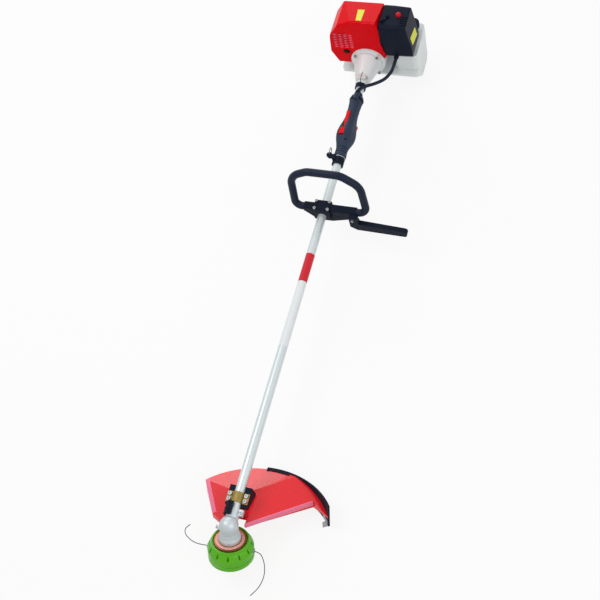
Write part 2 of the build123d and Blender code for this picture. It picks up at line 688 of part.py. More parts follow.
def tank_form(inset):
    """Tank solid with every wall moved in by inset."""
    with BuildPart() as form:
        with BuildSketch(beside(TANK_LEFT + inset)) as profile:
            Polygon((TANK_FRONT, TANK_TOP), (TANK_FRONT, TANK_TOP - 8),
                    (FOOT_STATION - FOOT_HALF, -SHAFT_HEIGHT), (FOOT_STATION + FOOT_HALF, -SHAFT_HEIGHT),
                    (TANK_REAR, -SHAFT_HEIGHT + 34), (TANK_REAR, TANK_TOP), align=None)
            fillet(profile.vertices().group_by(Axis.Y)[0], radius=20)
            if inset:
                offset(amount=-inset, kind=Kind.INTERSECTION)
        extrude(amount=TANK_RIGHT - TANK_LEFT - 2 * inset)
        with BuildSketch(above(TANK_TOP - 12)):
            with Locations(((SHOULDER_X + TANK_RIGHT) / 2, (SHOULDER_FRONT + TANK_REAR) / 2)):
                RectangleRounded(TANK_RIGHT - SHOULDER_X - 2 * inset, TANK_REAR - SHOULDER_FRONT - 2 * inset,
                                 TANK_CORNER_R - inset)
        extrude(amount=TANK_SHOULDER - TANK_TOP + 12 - inset)
        with BuildSketch(above(TANK_SHOULDER)):
            with Locations(((TANK_LEFT + TANK_RIGHT) / 2, (TANK_FRONT + TANK_REAR) / 2)):
                RectangleRounded(TANK_RIGHT - TANK_LEFT - 2 * inset, TANK_REAR - TANK_FRONT - 2 * inset,
                                 TANK_CORNER_R - inset)
        extrude(amount=-SHAFT_HEIGHT - TANK_SHOULDER, mode=Mode.INTERSECT)
    return form.part


with BuildPart() as fuel_tank:
    add(tank_form(0))
    with BuildSketch(above(TANK_SHOULDER - TANK_WALL)):
        with Locations((NECK_X, NECK_STATION)):
            Circle(NECK_R)
    extrude(amount=NECK_H + TANK_WALL)
    add(tank_form(TANK_WALL), mode=Mode.SUBTRACT)
    with BuildSketch(above(TANK_SHOULDER + NECK_H)):
        with Locations((NECK_X, NECK_STATION)):
            Circle(NECK_R - TANK_WALL)
    extrude(amount=-NECK_H - 2 * TANK_WALL, mode=Mode.SUBTRACT)
write(fuel_tank, "fuel_tank")

CAP_LOW = TANK_SHOULDER + NECK_H - 14
with BuildPart() as fuel_cap:
    with BuildSketch(above(CAP_LOW)):
        with Locations((NECK_X, NECK_STATION)):
            Circle(CAP_R)
    extrude(amount=CAP_H)
    fillet(fuel_cap.edges().sort_by(Axis.Z)[-1], radius=3)
    with BuildSketch(above(CAP_LOW)):
        with Locations((NECK_X, NECK_STATION)):
            with PolarLocations(CAP_R + 0.6, 12):
                Circle(2.2)
    extrude(amount=CAP_H, mode=Mode.SUBTRACT)
    with BuildSketch(above(CAP_LOW)):
        with Locations((NECK_X, NECK_STATION)):
            Circle(NECK_R + GAP)
    extrude(amount=14 + RUN, mode=Mode.SUBTRACT)
write(fuel_cap, "fuel_cap")

# Recoil starter: louvred housing with a post, the rope pulley, a rope guide and the pull grip
STARTER_END = CRANK_END + STARTER_LENGTH
STARTER_REAR_R = STARTER_R - 10
POST_R = 5.0
POST_START = CRANK_END + 12
PULLEY_END = POST_START + 2 + PULLEY_W
PULL = Vector(0.447, 0.756, 0.481).normalized()
GUIDE_FOOT = Vector(33, MOUTH_Y + 214, SHAFT_HEIGHT + 33)
GUIDE_R = 8.0
GUIDE_LENGTH = 40.0
with BuildPart() as starter_housing:
    with BuildSketch(beside(0)):
        Polygon((CRANK_END, CRANKCASE_R - 6), (CRANK_END, STARTER_R), (CRANK_END + 27, STARTER_R),
                (STARTER_END, STARTER_REAR_R), (STARTER_END, 0), (POST_START, 0), (POST_START, POST_R),
                (PULLEY_END + RUN, POST_R), (PULLEY_END + RUN, POST_R + 4), (STARTER_END - STARTER_WALL, POST_R + 4),
                (STARTER_END - STARTER_WALL, STARTER_REAR_R - 2), (CRANK_END + 26, STARTER_R - STARTER_WALL),
                (CRANK_END + STARTER_WALL, STARTER_R - STARTER_WALL),
                (CRANK_END + STARTER_WALL, CRANKCASE_R - 6), align=None)
    revolve(axis=SHAFT_AXIS)
    with BuildSketch(Plane(origin=GUIDE_FOOT, z_dir=PULL)):
        Circle(GUIDE_R)
    extrude(amount=GUIDE_LENGTH)
    with BuildSketch(Plane(origin=GUIDE_FOOT - PULL * 10, z_dir=PULL)):
        Circle(ROPE_D / 2 + GAP)
    extrude(amount=GUIDE_LENGTH + 10, mode=Mode.SUBTRACT)
    with BuildSketch(across(STARTER_END)):
        with PolarLocations((STARTER_REAR_R + POST_R) / 2 + 1, 14):
            SlotOverall(20, 4)
    extrude(amount=STARTER_WALL, mode=Mode.SUBTRACT)
write(starter_housing, "starter_housing")

with BuildPart() as starter_pulley:
    ring(PULLEY_END, PULLEY_W, PULLEY_R, POST_R + RUN)
    with BuildSketch(across(PULLEY_END - 3)):
        Circle(PULLEY_R + 1)
        Circle(PULLEY_R - 5, mode=Mode.SUBTRACT)
    extrude(amount=PULLEY_W - 6, mode=Mode.SUBTRACT)
write(starter_pulley, "starter_pulley")

GRIP_PLANE = Plane(origin=GUIDE_FOOT + PULL * (GUIDE_LENGTH + 0.2), z_dir=PULL)
with BuildPart() as starter_grip:
    with BuildSketch(GRIP_PLANE):
        Circle(GUIDE_R - 1.5)
    extrude(amount=16)
    with BuildSketch(GRIP_PLANE.offset(14)):
        SlotOverall(44, 15)
    extrude(amount=13)
    fillet(starter_grip.faces().sort_by(Axis(GRIP_PLANE.origin, PULL))[-1].edges(), radius=5)
write(starter_grip, "starter_grip")

# Throttle conduit from the filter cover's gland to the handle, and its clip on the tube
BOSS_SIDE = 8.0
BOSS_UP = 18.0
BOSS_X = BOSS_SIDE * cos(ROLL) - BOSS_UP * sin(ROLL)
BOSS_Z = BOSS_SIDE * sin(ROLL) + BOSS_UP * cos(ROLL)
CONDUIT_ROUTE = [(GLAND_X, GLAND_STATION, GLAND_Z), (94, 80, GLAND_Z), (89, 54, 16), (73, 27, 9), (46, 4, 11),
                 (18, -16, 18), (BOSS_X, -32, BOSS_Z), (BOSS_X, HANDLE_TOP, BOSS_Z)]


def bend_radii(points):
    """Radii that let every corner of a route bend as widely as its shorter side allows."""
    radii = []
    for before, here, after in zip(points, points[1:], points[2:]):
        inward = Vector(*here) - Vector(*before)
        outward = Vector(*after) - Vector(*here)
        half_turn = radians(inward.get_angle(outward)) / 2
        radii.append(0.45 * min(inward.length, outward.length) / tan(half_turn))
    return radii


def sweep_round(points, radius):
    """Sweep a round section along a route with wide bends."""
    with BuildPart() as form:
        with BuildLine() as route:
            FilletPolyline(*points, radius=bend_radii(points))
        with BuildSketch(Plane(origin=route.line @ 0, z_dir=route.line % 0)):
            Circle(radius)
        sweep()
    return form.part


def on_tool(points):
    """Points given as (x, station, z) in the part's frame."""
    return [(x, MOUTH_Y + station, SHAFT_HEIGHT + z) for x, station, z in points]


with BuildPart() as throttle_conduit:
    add(sweep_round(on_tool(CONDUIT_ROUTE), CONDUIT_D / 2))
write(throttle_conduit, "throttle_conduit")

CLIP_STATION = -38.0
CLIP_BAND = 1.3


def strap_outline(clearance):
    """Outline drawn tight round the tube and the conduit beside it."""
    with BuildSketch() as outline:
        with BuildLine():
            CenterArc((0, 0), TUBE_R + clearance, 0, 360)
            CenterArc((BOSS_X, BOSS_Z), CONDUIT_D / 2 + clearance, 0, 360)
        make_hull()
    return outline.sketch


with BuildPart() as conduit_clip:
    with BuildSketch(across(CLIP_STATION)):
        add(strap_outline(CLIP_BAND))
        add(strap_outline(FIT), mode=Mode.SUBTRACT)
    extrude(amount=6)
write(conduit_clip, "conduit_clip")

# Rear handle in two halves, with its trigger, lockout, stop switch and screws
HANDLE_SECTIONS = [(HANDLE_TOP, 36, 36), (-62, 40, 40), (-80, GRIP_W - 1, GRIP_H - 2), (-140, GRIP_W, GRIP_H),
                   (-172, BOX_W - 4, BOX_H - 2), (-215, BOX_W - 2, BOX_H), (-240, 38, 40), (-262, 35, 35),
                   (HANDLE_END, 34, 34)]
TRIGGER_PIVOT = (-180.0, -20.0)
LOCKOUT_PIVOT = (-172.0, 19.0)
SWITCH_FLOOR = 23.0
SWITCH_REAR = -184.0
HANDLE_SCREWS = [(-100, -16.6), (-196, -21.5), (-226, -19), (-226, 19)]
HANDLE_SCREW_R = 1.5
HANDLE_HEAD_R = 3.0
HEAD_SEAT = 8.0
with BuildPart() as handle:
    for station, width, height in HANDLE_SECTIONS:
        with BuildSketch(handle_across(station)):
            RectangleRounded(width, height, 0.42 * min(width, height))
    loft()
    with BuildSketch(handle_across(HANDLE_TOP)):
        with Locations((BOSS_SIDE, BOSS_UP)):
            Circle(CONDUIT_D / 2 + 3)
    extrude(amount=22)
    with BuildSketch(across(HANDLE_TOP)):
        Circle(TUBE_R + FIT)
    extrude(amount=HANDLE_TOP - HANDLE_END, mode=Mode.SUBTRACT)
    for groove in (-248, -256, -264):
        with BuildSketch(handle_across(groove)):
            Circle(30)
            Circle(16.6, mode=Mode.SUBTRACT)
        extrude(amount=2.5, mode=Mode.SUBTRACT)
    with BuildSketch(HANDLE_SIDE):
        with Locations((-159, -37.25)):
            Rectangle(56, 45.5)
    extrude(amount=TRIGGER_W / 2 + 0.2, both=True, mode=Mode.SUBTRACT)
    with BuildSketch(HANDLE_SIDE):
        with Locations((-147.5, 27.4)):
            Rectangle(65, 25.2)
    extrude(amount=6, both=True, mode=Mode.SUBTRACT)
    with BuildSketch(HANDLE_SIDE):
        with Locations(TRIGGER_PIVOT, LOCKOUT_PIVOT):
            Circle(TRIGGER_PIN_R + RUN)
    extrude(amount=9, both=True, mode=Mode.SUBTRACT)
    with BuildSketch(HANDLE_SIDE):
        with Locations((SWITCH_REAR + GAP - 15.2, SWITCH_FLOOR + 10)):
            Rectangle(30.4, 20)
    extrude(amount=SWITCH_W / 2 + GAP, both=True, mode=Mode.SUBTRACT)
    with BuildSketch(HANDLE_SIDE):
        with Locations(*HANDLE_SCREWS):
            Circle(HANDLE_SCREW_R + FIT)
    extrude(amount=HEAD_SEAT, both=True, mode=Mode.SUBTRACT)
    with BuildSketch(HANDLE_SIDE.offset(HEAD_SEAT)):
        with Locations(*HANDLE_SCREWS):
            Circle(HANDLE_HEAD_R + GAP)
    extrude(amount=30, mode=Mode.SUBTRACT)

with BuildPart() as handle_right:
    add(handle.part)
    split(bisect_by=HANDLE_SIDE, keep=Keep.TOP)
write(handle_right, "handle_right")

with BuildPart() as handle_left:
    add(handle.part)
    split(bisect_by=HANDLE_SIDE, keep=Keep.BOTTOM)
write(handle_left, "handle_left")

with BuildPart() as handle_screws:
    with BuildSketch(HANDLE_SIDE):
        with Locations(*HANDLE_SCREWS):
            Circle(HANDLE_SCREW_R)
    extrude(amount=HEAD_SEAT - 1, both=True)
    with BuildSketch(HANDLE_SIDE.offset(HEAD_SEAT - 1)):
        with Locations(*HANDLE_SCREWS):
            Circle(HANDLE_SCREW_R)
    extrude(amount=1)
    with BuildSketch(HANDLE_SIDE.offset(HEAD_SEAT)):
        with Locations(*HANDLE_SCREWS):
            Circle(HANDLE_HEAD_R)
    extrude(amount=2)
write(handle_screws, "handle_screws")

with BuildPart() as throttle_trigger:
    with BuildSketch(HANDLE_SIDE):
        with Locations(TRIGGER_PIVOT):
            Circle(4.5)
        with BuildLine():
            Polyline((-180, -24.5), (-172, -31), (-152, -38), (-139, -40))
            RadiusArc((-139, -40), (-137, -31), -6)
            Polyline((-137, -31), (-155, -25), (-176, -17), (-180, -24.5))
        make_face()
    extrude(amount=TRIGGER_W / 2, both=True)
    with BuildSketch(HANDLE_SIDE):
        with Locations(TRIGGER_PIVOT):
            Circle(TRIGGER_PIN_R)
    extrude(amount=8.5, both=True)
write(throttle_trigger, "throttle_trigger")

with BuildPart() as throttle_lockout:
    with BuildSketch(HANDLE_SIDE):
        with Locations(LOCKOUT_PIVOT):
            Circle(3.5)
        Polygon((-172, 22.5), (-140, 24), (-119, 25.5), (-116.5, 22.5), (-119, 19.4), (-150, 18.4),
                (-172, 15.5), align=None)
    extrude(amount=5.6, both=True)
    with BuildSketch(HANDLE_SIDE):
        with Locations(LOCKOUT_PIVOT):
            Circle(TRIGGER_PIN_R)
    extrude(amount=8.5, both=True)
write(throttle_lockout, "throttle_lockout")

with BuildPart() as stop_switch:
    with BuildSketch(HANDLE_SIDE):
        with Locations((SWITCH_REAR - SWITCH_L / 2, SWITCH_FLOOR + 3.5)):
            RectangleRounded(SWITCH_L, 7, 1.5)
        for groove in range(3):
            with Locations((SWITCH_REAR - 6 - 6 * groove, SWITCH_FLOOR + 7)):
                Circle(1.4, mode=Mode.SUBTRACT)
    extrude(amount=SWITCH_W / 2, both=True)
write(stop_switch, "stop_switch")

# Harness clamp with its eye, and the wire ring in it
EYE_X = -28.0
EYE_STATION = HARNESS_STATION + 1
EYE_Z = 18.0
EYE_R = 2.0
with BuildPart() as harness_clamp:
    ring(HARNESS_STATION, HARNESS_LENGTH, TUBE_R + CLAMP_WALL, TUBE_R + FIT)
    with BuildSketch(above(EYE_Z - 2)):
        with Locations((EYE_X + 10, EYE_STATION - 6)):
            Rectangle(20, 16)
        with Locations((EYE_X, EYE_STATION - 2)):
            Circle(9)
        with Locations((EYE_X, EYE_STATION)):
            Circle(EYE_R, mode=Mode.SUBTRACT)
    extrude(amount=4)
    with BuildSketch(across(HARNESS_STATION)):
        with Locations((-10, 13)):
            Rectangle(14, 10)
        Circle(TUBE_R + FIT, mode=Mode.SUBTRACT)
    extrude(amount=14)
write(harness_clamp, "harness_clamp")

with BuildPart() as harness_ring:
    with BuildSketch(above(EYE_Z)):
        with Locations((EYE_X, EYE_STATION)):
            Circle(RING_WIRE_R)
    revolve(axis=Axis((EYE_X, MOUTH_Y + EYE_STATION + RING_R, SHAFT_HEIGHT + EYE_Z), (1, 0, 0)))
write(harness_ring, "harness_ring")

# Loop handle: clamp halves on the tube, padded grip and barrier bar
LEAN = radians(LOOP_LEAN)
LOOP_Z = 15.0
LOOP = Plane(origin=(0, MOUTH_Y + LOOP_STATION, SHAFT_HEIGHT + LOOP_Z), x_dir=(1, 0, 0),
             z_dir=(0, -cos(LEAN), sin(LEAN)))
LOOP_ROUTE = [(BAR_LEFT, 0), (-84, 0), (-86, 118), (-34, 141), (66, 141), (122, 106), (136, 0), (BAR_RIGHT, 0)]
LOOP_RADII = [22, 46, 40, 60, 50, 24]
BLOCK_TOP = 30.0
BLOCK_LOW = -20.0
CLAMP_SCREW_X = 20.0
CLAMP_SCREW_SPAN = 26.0
BARRIER_BOLT = (97.0, 13.0)
with BuildPart() as loop_clamp_base:
    with BuildSketch(across(LOOP_STATION + BLOCK_L / 2)):
        with Locations((0, BLOCK_LOW / 2)):
            Rectangle(BLOCK_W, -BLOCK_LOW)
    extrude(amount=BLOCK_L)
    fillet(loop_clamp_base.edges().filter_by(Axis.Y).group_by(Axis.Z)[0], radius=7)
    with BuildSketch(across(LOOP_STATION + BLOCK_L / 2)):
        Circle(TUBE_R + FIT)
    extrude(amount=BLOCK_L, mode=Mode.SUBTRACT)
    with BuildSketch(above(0)):
        with Locations((0, LOOP_STATION)):
            with GridLocations(2 * CLAMP_SCREW_X, CLAMP_SCREW_SPAN, 2, 2):
                Circle(SCREW_R + FIT)
    extrude(amount=BLOCK_LOW + 4, mode=Mode.SUBTRACT)
write(loop_clamp_base, "loop_clamp_base")

with BuildPart() as loop_clamp_cap:
    with BuildSketch(across(LOOP_STATION + BLOCK_L / 2)):
        with Locations((0, BLOCK_TOP / 2)):
            Rectangle(BLOCK_W, BLOCK_TOP)
    extrude(amount=BLOCK_L)
    fillet(loop_clamp_cap.edges().filter_by(Axis.Y).group_by(Axis.Z)[-1], radius=4)
    with BuildSketch(beside(BAR_LEFT)):
        with Locations((LOOP_STATION, LOOP_Z)):
            RectangleRounded(BAR_T, BAR_H, 5)
    extrude(amount=BAR_RIGHT - BAR_LEFT)
    with BuildSketch(across(LOOP_STATION + BLOCK_L / 2)):
        Circle(TUBE_R + FIT)
    extrude(amount=BLOCK_L, mode=Mode.SUBTRACT)
    with BuildSketch(above(BLOCK_TOP)):
        with Locations((0, LOOP_STATION)):
            with GridLocations(2 * CLAMP_SCREW_X, CLAMP_SCREW_SPAN, 2, 2):
                Circle(SCREW_R + FIT)
    extrude(amount=-BLOCK_TOP, mode=Mode.SUBTRACT)
    with BuildSketch(across(LOOP_STATION - BAR_T / 2)):
        with Locations(BARRIER_BOLT):
            Circle(SCREW_R + FIT)
    extrude(amount=-BAR_T + 4, mode=Mode.SUBTRACT)
write(loop_clamp_cap, "loop_clamp_cap")

with BuildPart() as loop_grip:
    with BuildLine(LOOP) as grip_route:
        FilletPolyline(*LOOP_ROUTE, radius=LOOP_RADII)
    with BuildSketch(Plane(origin=grip_route.line @ 0, z_dir=grip_route.line % 0)):
        Circle(LOOP_GRIP_R)
    sweep()
write(loop_grip, "loop_grip")

BARRIER_STATION = LOOP_STATION - BAR_T / 2
with BuildPart() as barrier_bar:
    with BuildSketch(across(BARRIER_STATION)) as barrier_outline:
        Polygon((86, 22), (108, 22), (114, -6), (BARRIER_REACH, -18), (BARRIER_REACH, -18 - BARRIER_H - 3),
                (106, -36), (86, -22), align=None)
        fillet(barrier_outline.vertices().sort_by(Axis.X)[-2:], radius=9)
        fillet(barrier_outline.vertices().group_by(Axis.Y)[-1], radius=6)
        with Locations(BARRIER_BOLT):
            Circle(SCREW_R + FIT, mode=Mode.SUBTRACT)
    extrude(amount=BARRIER_T)
write(barrier_bar, "barrier_bar")

# Gear case: dome over the bevel pair, neck on the tube with a clamp lug, bearing seats
DOME_H = 8.0
GEAR_SEAT_R = 5.0
TOP_SEAT_R = 4.0
LOWER_BEARING = (16.0, -36.0, -24.0)
UPPER_BEARING = (8.0, 24.5, 29.0)
PINION_BEARING = (11.0, 26.0, 36.0)
LUG_X = 21.0
LUG_REACH = 41.0
LUG_SCREW_R = 2.0
PLUG_Y = -6.0
PLUG_Z = 6.0
PLUG_X = -27.0
with BuildPart() as gear_case:
    with BuildSketch(HEAD_SIDE):
        with BuildLine():
            ThreePointArc((0, DOME_H + CASE_R), (CASE_R * sin(radians(45)), DOME_H + CASE_R * cos(radians(45))),
                          (CASE_R, DOME_H))
            Polyline((CASE_R, DOME_H), (CASE_R - 1, -10), (CASE_R + 1, -22), (CASE_R + 4, -30),
                     (CASE_R + 4, CASE_BOTTOM), (0, CASE_BOTTOM), (0, DOME_H + CASE_R))
        make_face()
    revolve(axis=SPINDLE_AXIS)
    with BuildSketch(across(GEAR_STATION + CASE_REACH)):
        Circle(CASE_NECK_R)
        with Locations((LUG_X - 4, 0)):
            RectangleRounded(20, 14, 3)
    extrude(amount=16)
    with BuildSketch(across(GEAR_STATION + CASE_REACH)):
        Circle(CASE_NECK_R)
    extrude(amount=CASE_REACH)
    with BuildSketch(Plane(origin=(-14, HEAD.origin.Y + PLUG_Y, SHAFT_HEIGHT + PLUG_Z), z_dir=(-1, 0, 0))):
        RegularPolygon(7, 6)
    extrude(amount=-PLUG_X - 14)
    with BuildSketch(HEAD_SIDE):
        Polygon((0, CASE_BOTTOM), (LOWER_BEARING[0] + FIT, CASE_BOTTOM), (LOWER_BEARING[0] + FIT, LOWER_BEARING[2]),
                (13, LOWER_BEARING[2]), (13, 12), (16.8, 12), (16.8, 22.8), (UPPER_BEARING[0] + FIT, UPPER_BEARING[1]),
                (UPPER_BEARING[0] + FIT, UPPER_BEARING[2]), (0, UPPER_BEARING[2]), align=None)
    revolve(axis=SPINDLE_AXIS, mode=Mode.SUBTRACT)
    with BuildSketch(beside(0)):
        Polygon((GEAR_STATION + 8, 0), (GEAR_STATION + 8, 12.5), (GEAR_STATION + PINION_BEARING[1], 12.5),
                (GEAR_STATION + PINION_BEARING[1], PINION_BEARING[0] + FIT),
                (GEAR_STATION + PINION_BEARING[2], PINION_BEARING[0] + FIT),
                (GEAR_STATION + PINION_BEARING[2], TUBE_R + FIT),
                (GEAR_STATION + CASE_REACH, TUBE_R + FIT), (GEAR_STATION + CASE_REACH, 0), align=None)
    revolve(axis=SHAFT_AXIS, mode=Mode.SUBTRACT)
    with BuildSketch(across(GEAR_STATION + CASE_REACH)):
        with Locations((LUG_X, 0)):
            Rectangle(18, 2)
    extrude(amount=16, mode=Mode.SUBTRACT)
    with BuildSketch(above(8)):
        with Locations((LUG_X + 1, GEAR_STATION + LUG_REACH)):
            Circle(LUG_SCREW_R + FIT)
    extrude(amount=-16, mode=Mode.SUBTRACT)
    with BuildSketch(Plane(origin=(PLUG_X, HEAD.origin.Y + PLUG_Y, SHAFT_HEIGHT + PLUG_Z), z_dir=(1, 0, 0))):
        Circle(SCREW_R + FIT)
    extrude(amount=9, mode=Mode.SUBTRACT)
write(gear_case, "gear_case")

with BuildPart() as ball_bearings:
    ring(BEARING_START + BEARING_W, BEARING_W, TUBE_R, DRUM_HUB_R + RUN)
    ring(GEAR_STATION + PINION_BEARING[2], PINION_BEARING[2] - PINION_BEARING[1], PINION_BEARING[0], SHAFT_R + RUN)
    for (outer, low, high), bore in ((LOWER_BEARING, SPINDLE_R), (UPPER_BEARING, TOP_SEAT_R)):
        with BuildSketch(HEAD.offset(low)):
            Circle(outer)
            Circle(bore + RUN, mode=Mode.SUBTRACT)
        extrude(amount=high - low)
write(ball_bearings, "ball_bearings")


def bevel_outline(teeth, cone_angle, distance, first):
    """Tooth outline of a bevel gear in the plane square to its axis at a distance from the apex.

    The flanks are involutes of the back cone's virtual gear (Tredgold), and the first tooth's
    middle stands at the angle first, in radians.
    """
    addendum = 0.9 * MODULE
    dedendum = 1.25 * MODULE
    virtual_r = CONE * tan(cone_angle)
    base_r = virtual_r * cos(radians(20))
    half_tooth = (pi * MODULE / 2 - BACKLASH) / 2 / virtual_r + tan(radians(20)) - radians(20)
    flank = []
    for step in range(6):
        height = -dedendum + (addendum + dedendum) * step / 5
        reach = max(virtual_r + height, base_r)
        pressure = acos(base_r / reach)
        thickness = (half_tooth - tan(pressure) + pressure) * reach
        turn = thickness / (CONE * sin(cone_angle) + (reach - virtual_r) * cos(cone_angle))
        flank.append((distance * tan(cone_angle + atan(height / CONE)), turn))
    points = []
    for tooth in range(teeth):
        middle = first + 2 * pi * tooth / teeth
        rising = [(radius, middle - turn) for radius, turn in flank]
        falling = [(radius, middle + turn) for radius, turn in reversed(flank)]
        points += [(radius * cos(angle), radius * sin(angle)) for radius, angle in rising + falling]
    return points


# Bevel pinion on the drive shaft, and the output gear on the spindle
PINION_HUB_R = 8.0
with BuildPart() as pinion_gear:
    for reach in (PINION_NOSE, CONE * cos(PINION_ANGLE)):
        with BuildSketch(across(GEAR_STATION + reach)):
            Polygon(*bevel_outline(PINION_TEETH, PINION_ANGLE, reach, pi / 2), align=None)
    loft(ruled=True)
    ring(GEAR_STATION + PINION_BACK, PINION_BACK - CONE * cos(PINION_ANGLE), PINION_HUB_R, SHAFT_R + FIT)
    with BuildSketch(across(GEAR_STATION + PINION_BACK)):
        Circle(SHAFT_R + FIT)
    extrude(amount=PINION_BACK - PINION_NOSE, mode=Mode.SUBTRACT)
write(pinion_gear, "pinion_gear")

GEAR_NOSE = (CONE - FACE_WIDTH) * cos(GEAR_ANGLE)
GEAR_FACE = CONE * cos(GEAR_ANGLE)
GEAR_SEAT_LOW = 12.0
GEAR_SEAT_TOP = 22.3
with BuildPart() as output_gear:
    for reach in (GEAR_NOSE, GEAR_FACE):
        with BuildSketch(HEAD.offset(reach)):
            Polygon(*bevel_outline(GEAR_TEETH, GEAR_ANGLE, reach, pi / 2 + pi / GEAR_TEETH), align=None)
    loft(ruled=True)
    with BuildSketch(HEAD.offset(GEAR_FACE)):
        Circle(11.5)
    extrude(amount=GEAR_SEAT_TOP - GEAR_FACE)
    with BuildSketch(HEAD.offset(GEAR_SEAT_LOW)):
        Circle(7.5)
    extrude(amount=GEAR_NOSE - GEAR_SEAT_LOW)
    with BuildSketch(HEAD.offset(GEAR_SEAT_LOW)):
        Circle(GEAR_SEAT_R + FIT)
    extrude(amount=GEAR_SEAT_TOP - GEAR_SEAT_LOW, mode=Mode.SUBTRACT)
write(output_gear, "output_gear")

# Output spindle with its shoulder, and the knurled flange under the gear case
PLATE_TOP = FLANGE_TOP + 1.5
STUB_END = -70.0
with BuildPart() as output_spindle:
    with BuildSketch(HEAD_SIDE):
        Polygon((0, UPPER_BEARING[2]), (TOP_SEAT_R, UPPER_BEARING[2]), (TOP_SEAT_R, GEAR_SEAT_TOP),
                (GEAR_SEAT_R, GEAR_SEAT_TOP), (GEAR_SEAT_R, GEAR_SEAT_LOW), (SPINDLE_R, GEAR_SEAT_LOW),
                (SPINDLE_R, PLATE_TOP), (GEAR_SEAT_R, PLATE_TOP), (GEAR_SEAT_R, STUB_END), (0, STUB_END), align=None)
    revolve(axis=SPINDLE_AXIS)
write(output_spindle, "output_spindle")

FLANGE_LOW = FLANGE_TOP - FLANGE_T
with BuildPart() as spindle_flange:
    with BuildSketch(HEAD.offset(FLANGE_LOW)):
        Circle(FLANGE_R)
        with PolarLocations(FLANGE_R + 0.4, 40):
            Circle(1.6, mode=Mode.SUBTRACT)
        Circle(GEAR_SEAT_R + FIT, mode=Mode.SUBTRACT)
    extrude(amount=FLANGE_T)
    with BuildSketch(HEAD.offset(FLANGE_TOP)):
        Circle(FLANGE_R - 6)
        Circle(GEAR_SEAT_R + FIT, mode=Mode.SUBTRACT)
    extrude(amount=PLATE_TOP - FLANGE_TOP)
write(spindle_flange, "spindle_flange")

# Trimmer head: housing, cover, spool with its tap knob, eyelets and the two cutting lines
HEAD_CAVITY_R = 48.0
HUB_R = 9.0
PLATE_LOW = -58.0
EYELET_R = 4.5
EYELET_LIP_R = 6.5
EYELET_START = HEAD_CAVITY_R + 2
with BuildPart() as head_housing:
    with BuildSketch(HEAD_SIDE):
        Polygon((GEAR_SEAT_R + FIT, FLANGE_LOW), (FLANGE_R + 2, FLANGE_LOW), (FLANGE_R + 4, HEAD_TOP),
                (FLANGE_R + 8, HEAD_TOP), (FLANGE_R + 10, HEAD_TOP - 6), (FLANGE_R + 13, HEAD_TOP - 10),
                (HEAD_R - 1, -63), (HEAD_R, -66), (HEAD_R, -82), (HEAD_R - 1.5, -83), (HEAD_R - 1.5, -85),
                (HEAD_R, -86), (HEAD_R, HEAD_SPLIT), (HEAD_CAVITY_R, HEAD_SPLIT), (HEAD_CAVITY_R, PLATE_LOW),
                (HUB_R, PLATE_LOW), (HUB_R, STUB_END), (GEAR_SEAT_R + FIT, STUB_END), align=None)
    revolve(axis=SPINDLE_AXIS)
    with BuildSketch(HEAD.offset(HEAD_TOP + 2)):
        with PolarLocations(HEAD_R - 2, 12, start_angle=15):
            SlotOverall(14, 5)
    extrude(amount=-22, mode=Mode.SUBTRACT)
    for turn in (LINE_ANGLE, LINE_ANGLE + 180):
        outward = HEAD.x_dir * cos(radians(turn)) + HEAD.y_dir * sin(radians(turn))
        with BuildSketch(Plane(origin=HEAD.origin + HEAD.z_dir * LINE_LEVEL, z_dir=outward)):
            Circle(EYELET_R + FIT)
        extrude(amount=HEAD_R + 10, mode=Mode.SUBTRACT)
write(head_housing, "head_housing")

with BuildPart() as line_eyelets:
    for turn in (LINE_ANGLE, LINE_ANGLE + 180):
        outward = HEAD.x_dir * cos(radians(turn)) + HEAD.y_dir * sin(radians(turn))
        level = HEAD.origin + HEAD.z_dir * LINE_LEVEL
        with BuildSketch(Plane(origin=level + outward * EYELET_START, z_dir=outward)):
            Circle(EYELET_R)
            Circle(LINE_D / 2 + 0.3, mode=Mode.SUBTRACT)
        extrude(amount=HEAD_R - EYELET_START + 0.2)
        with BuildSketch(Plane(origin=level + outward * (HEAD_R + 0.2), z_dir=outward)):
            Circle(EYELET_LIP_R)
            Circle(LINE_D / 2 + 0.3, mode=Mode.SUBTRACT)
        extrude(amount=2)
write(line_eyelets, "line_eyelets")

COVER_IN = HEAD_BOTTOM + HEAD_WALL
with BuildPart() as head_cover:
    with BuildSketch(HEAD_SIDE):
        Polygon((HEAD_CAVITY_R, HEAD_SPLIT), (HEAD_R, HEAD_SPLIT), (HEAD_R, HEAD_SPLIT - 5),
                (HEAD_R - 8, HEAD_BOTTOM), (KNOB_R + 1, HEAD_BOTTOM), (KNOB_R + 1, COVER_IN),
                (HEAD_CAVITY_R, COVER_IN), align=None)
    revolve(axis=SPINDLE_AXIS)
    with BuildSketch(HEAD.offset(HEAD_SPLIT)):
        with PolarLocations(HEAD_R + 1, 12, start_angle=15):
            Circle(3)
    extrude(amount=HEAD_BOTTOM - HEAD_SPLIT, mode=Mode.SUBTRACT)
write(head_cover, "head_cover")

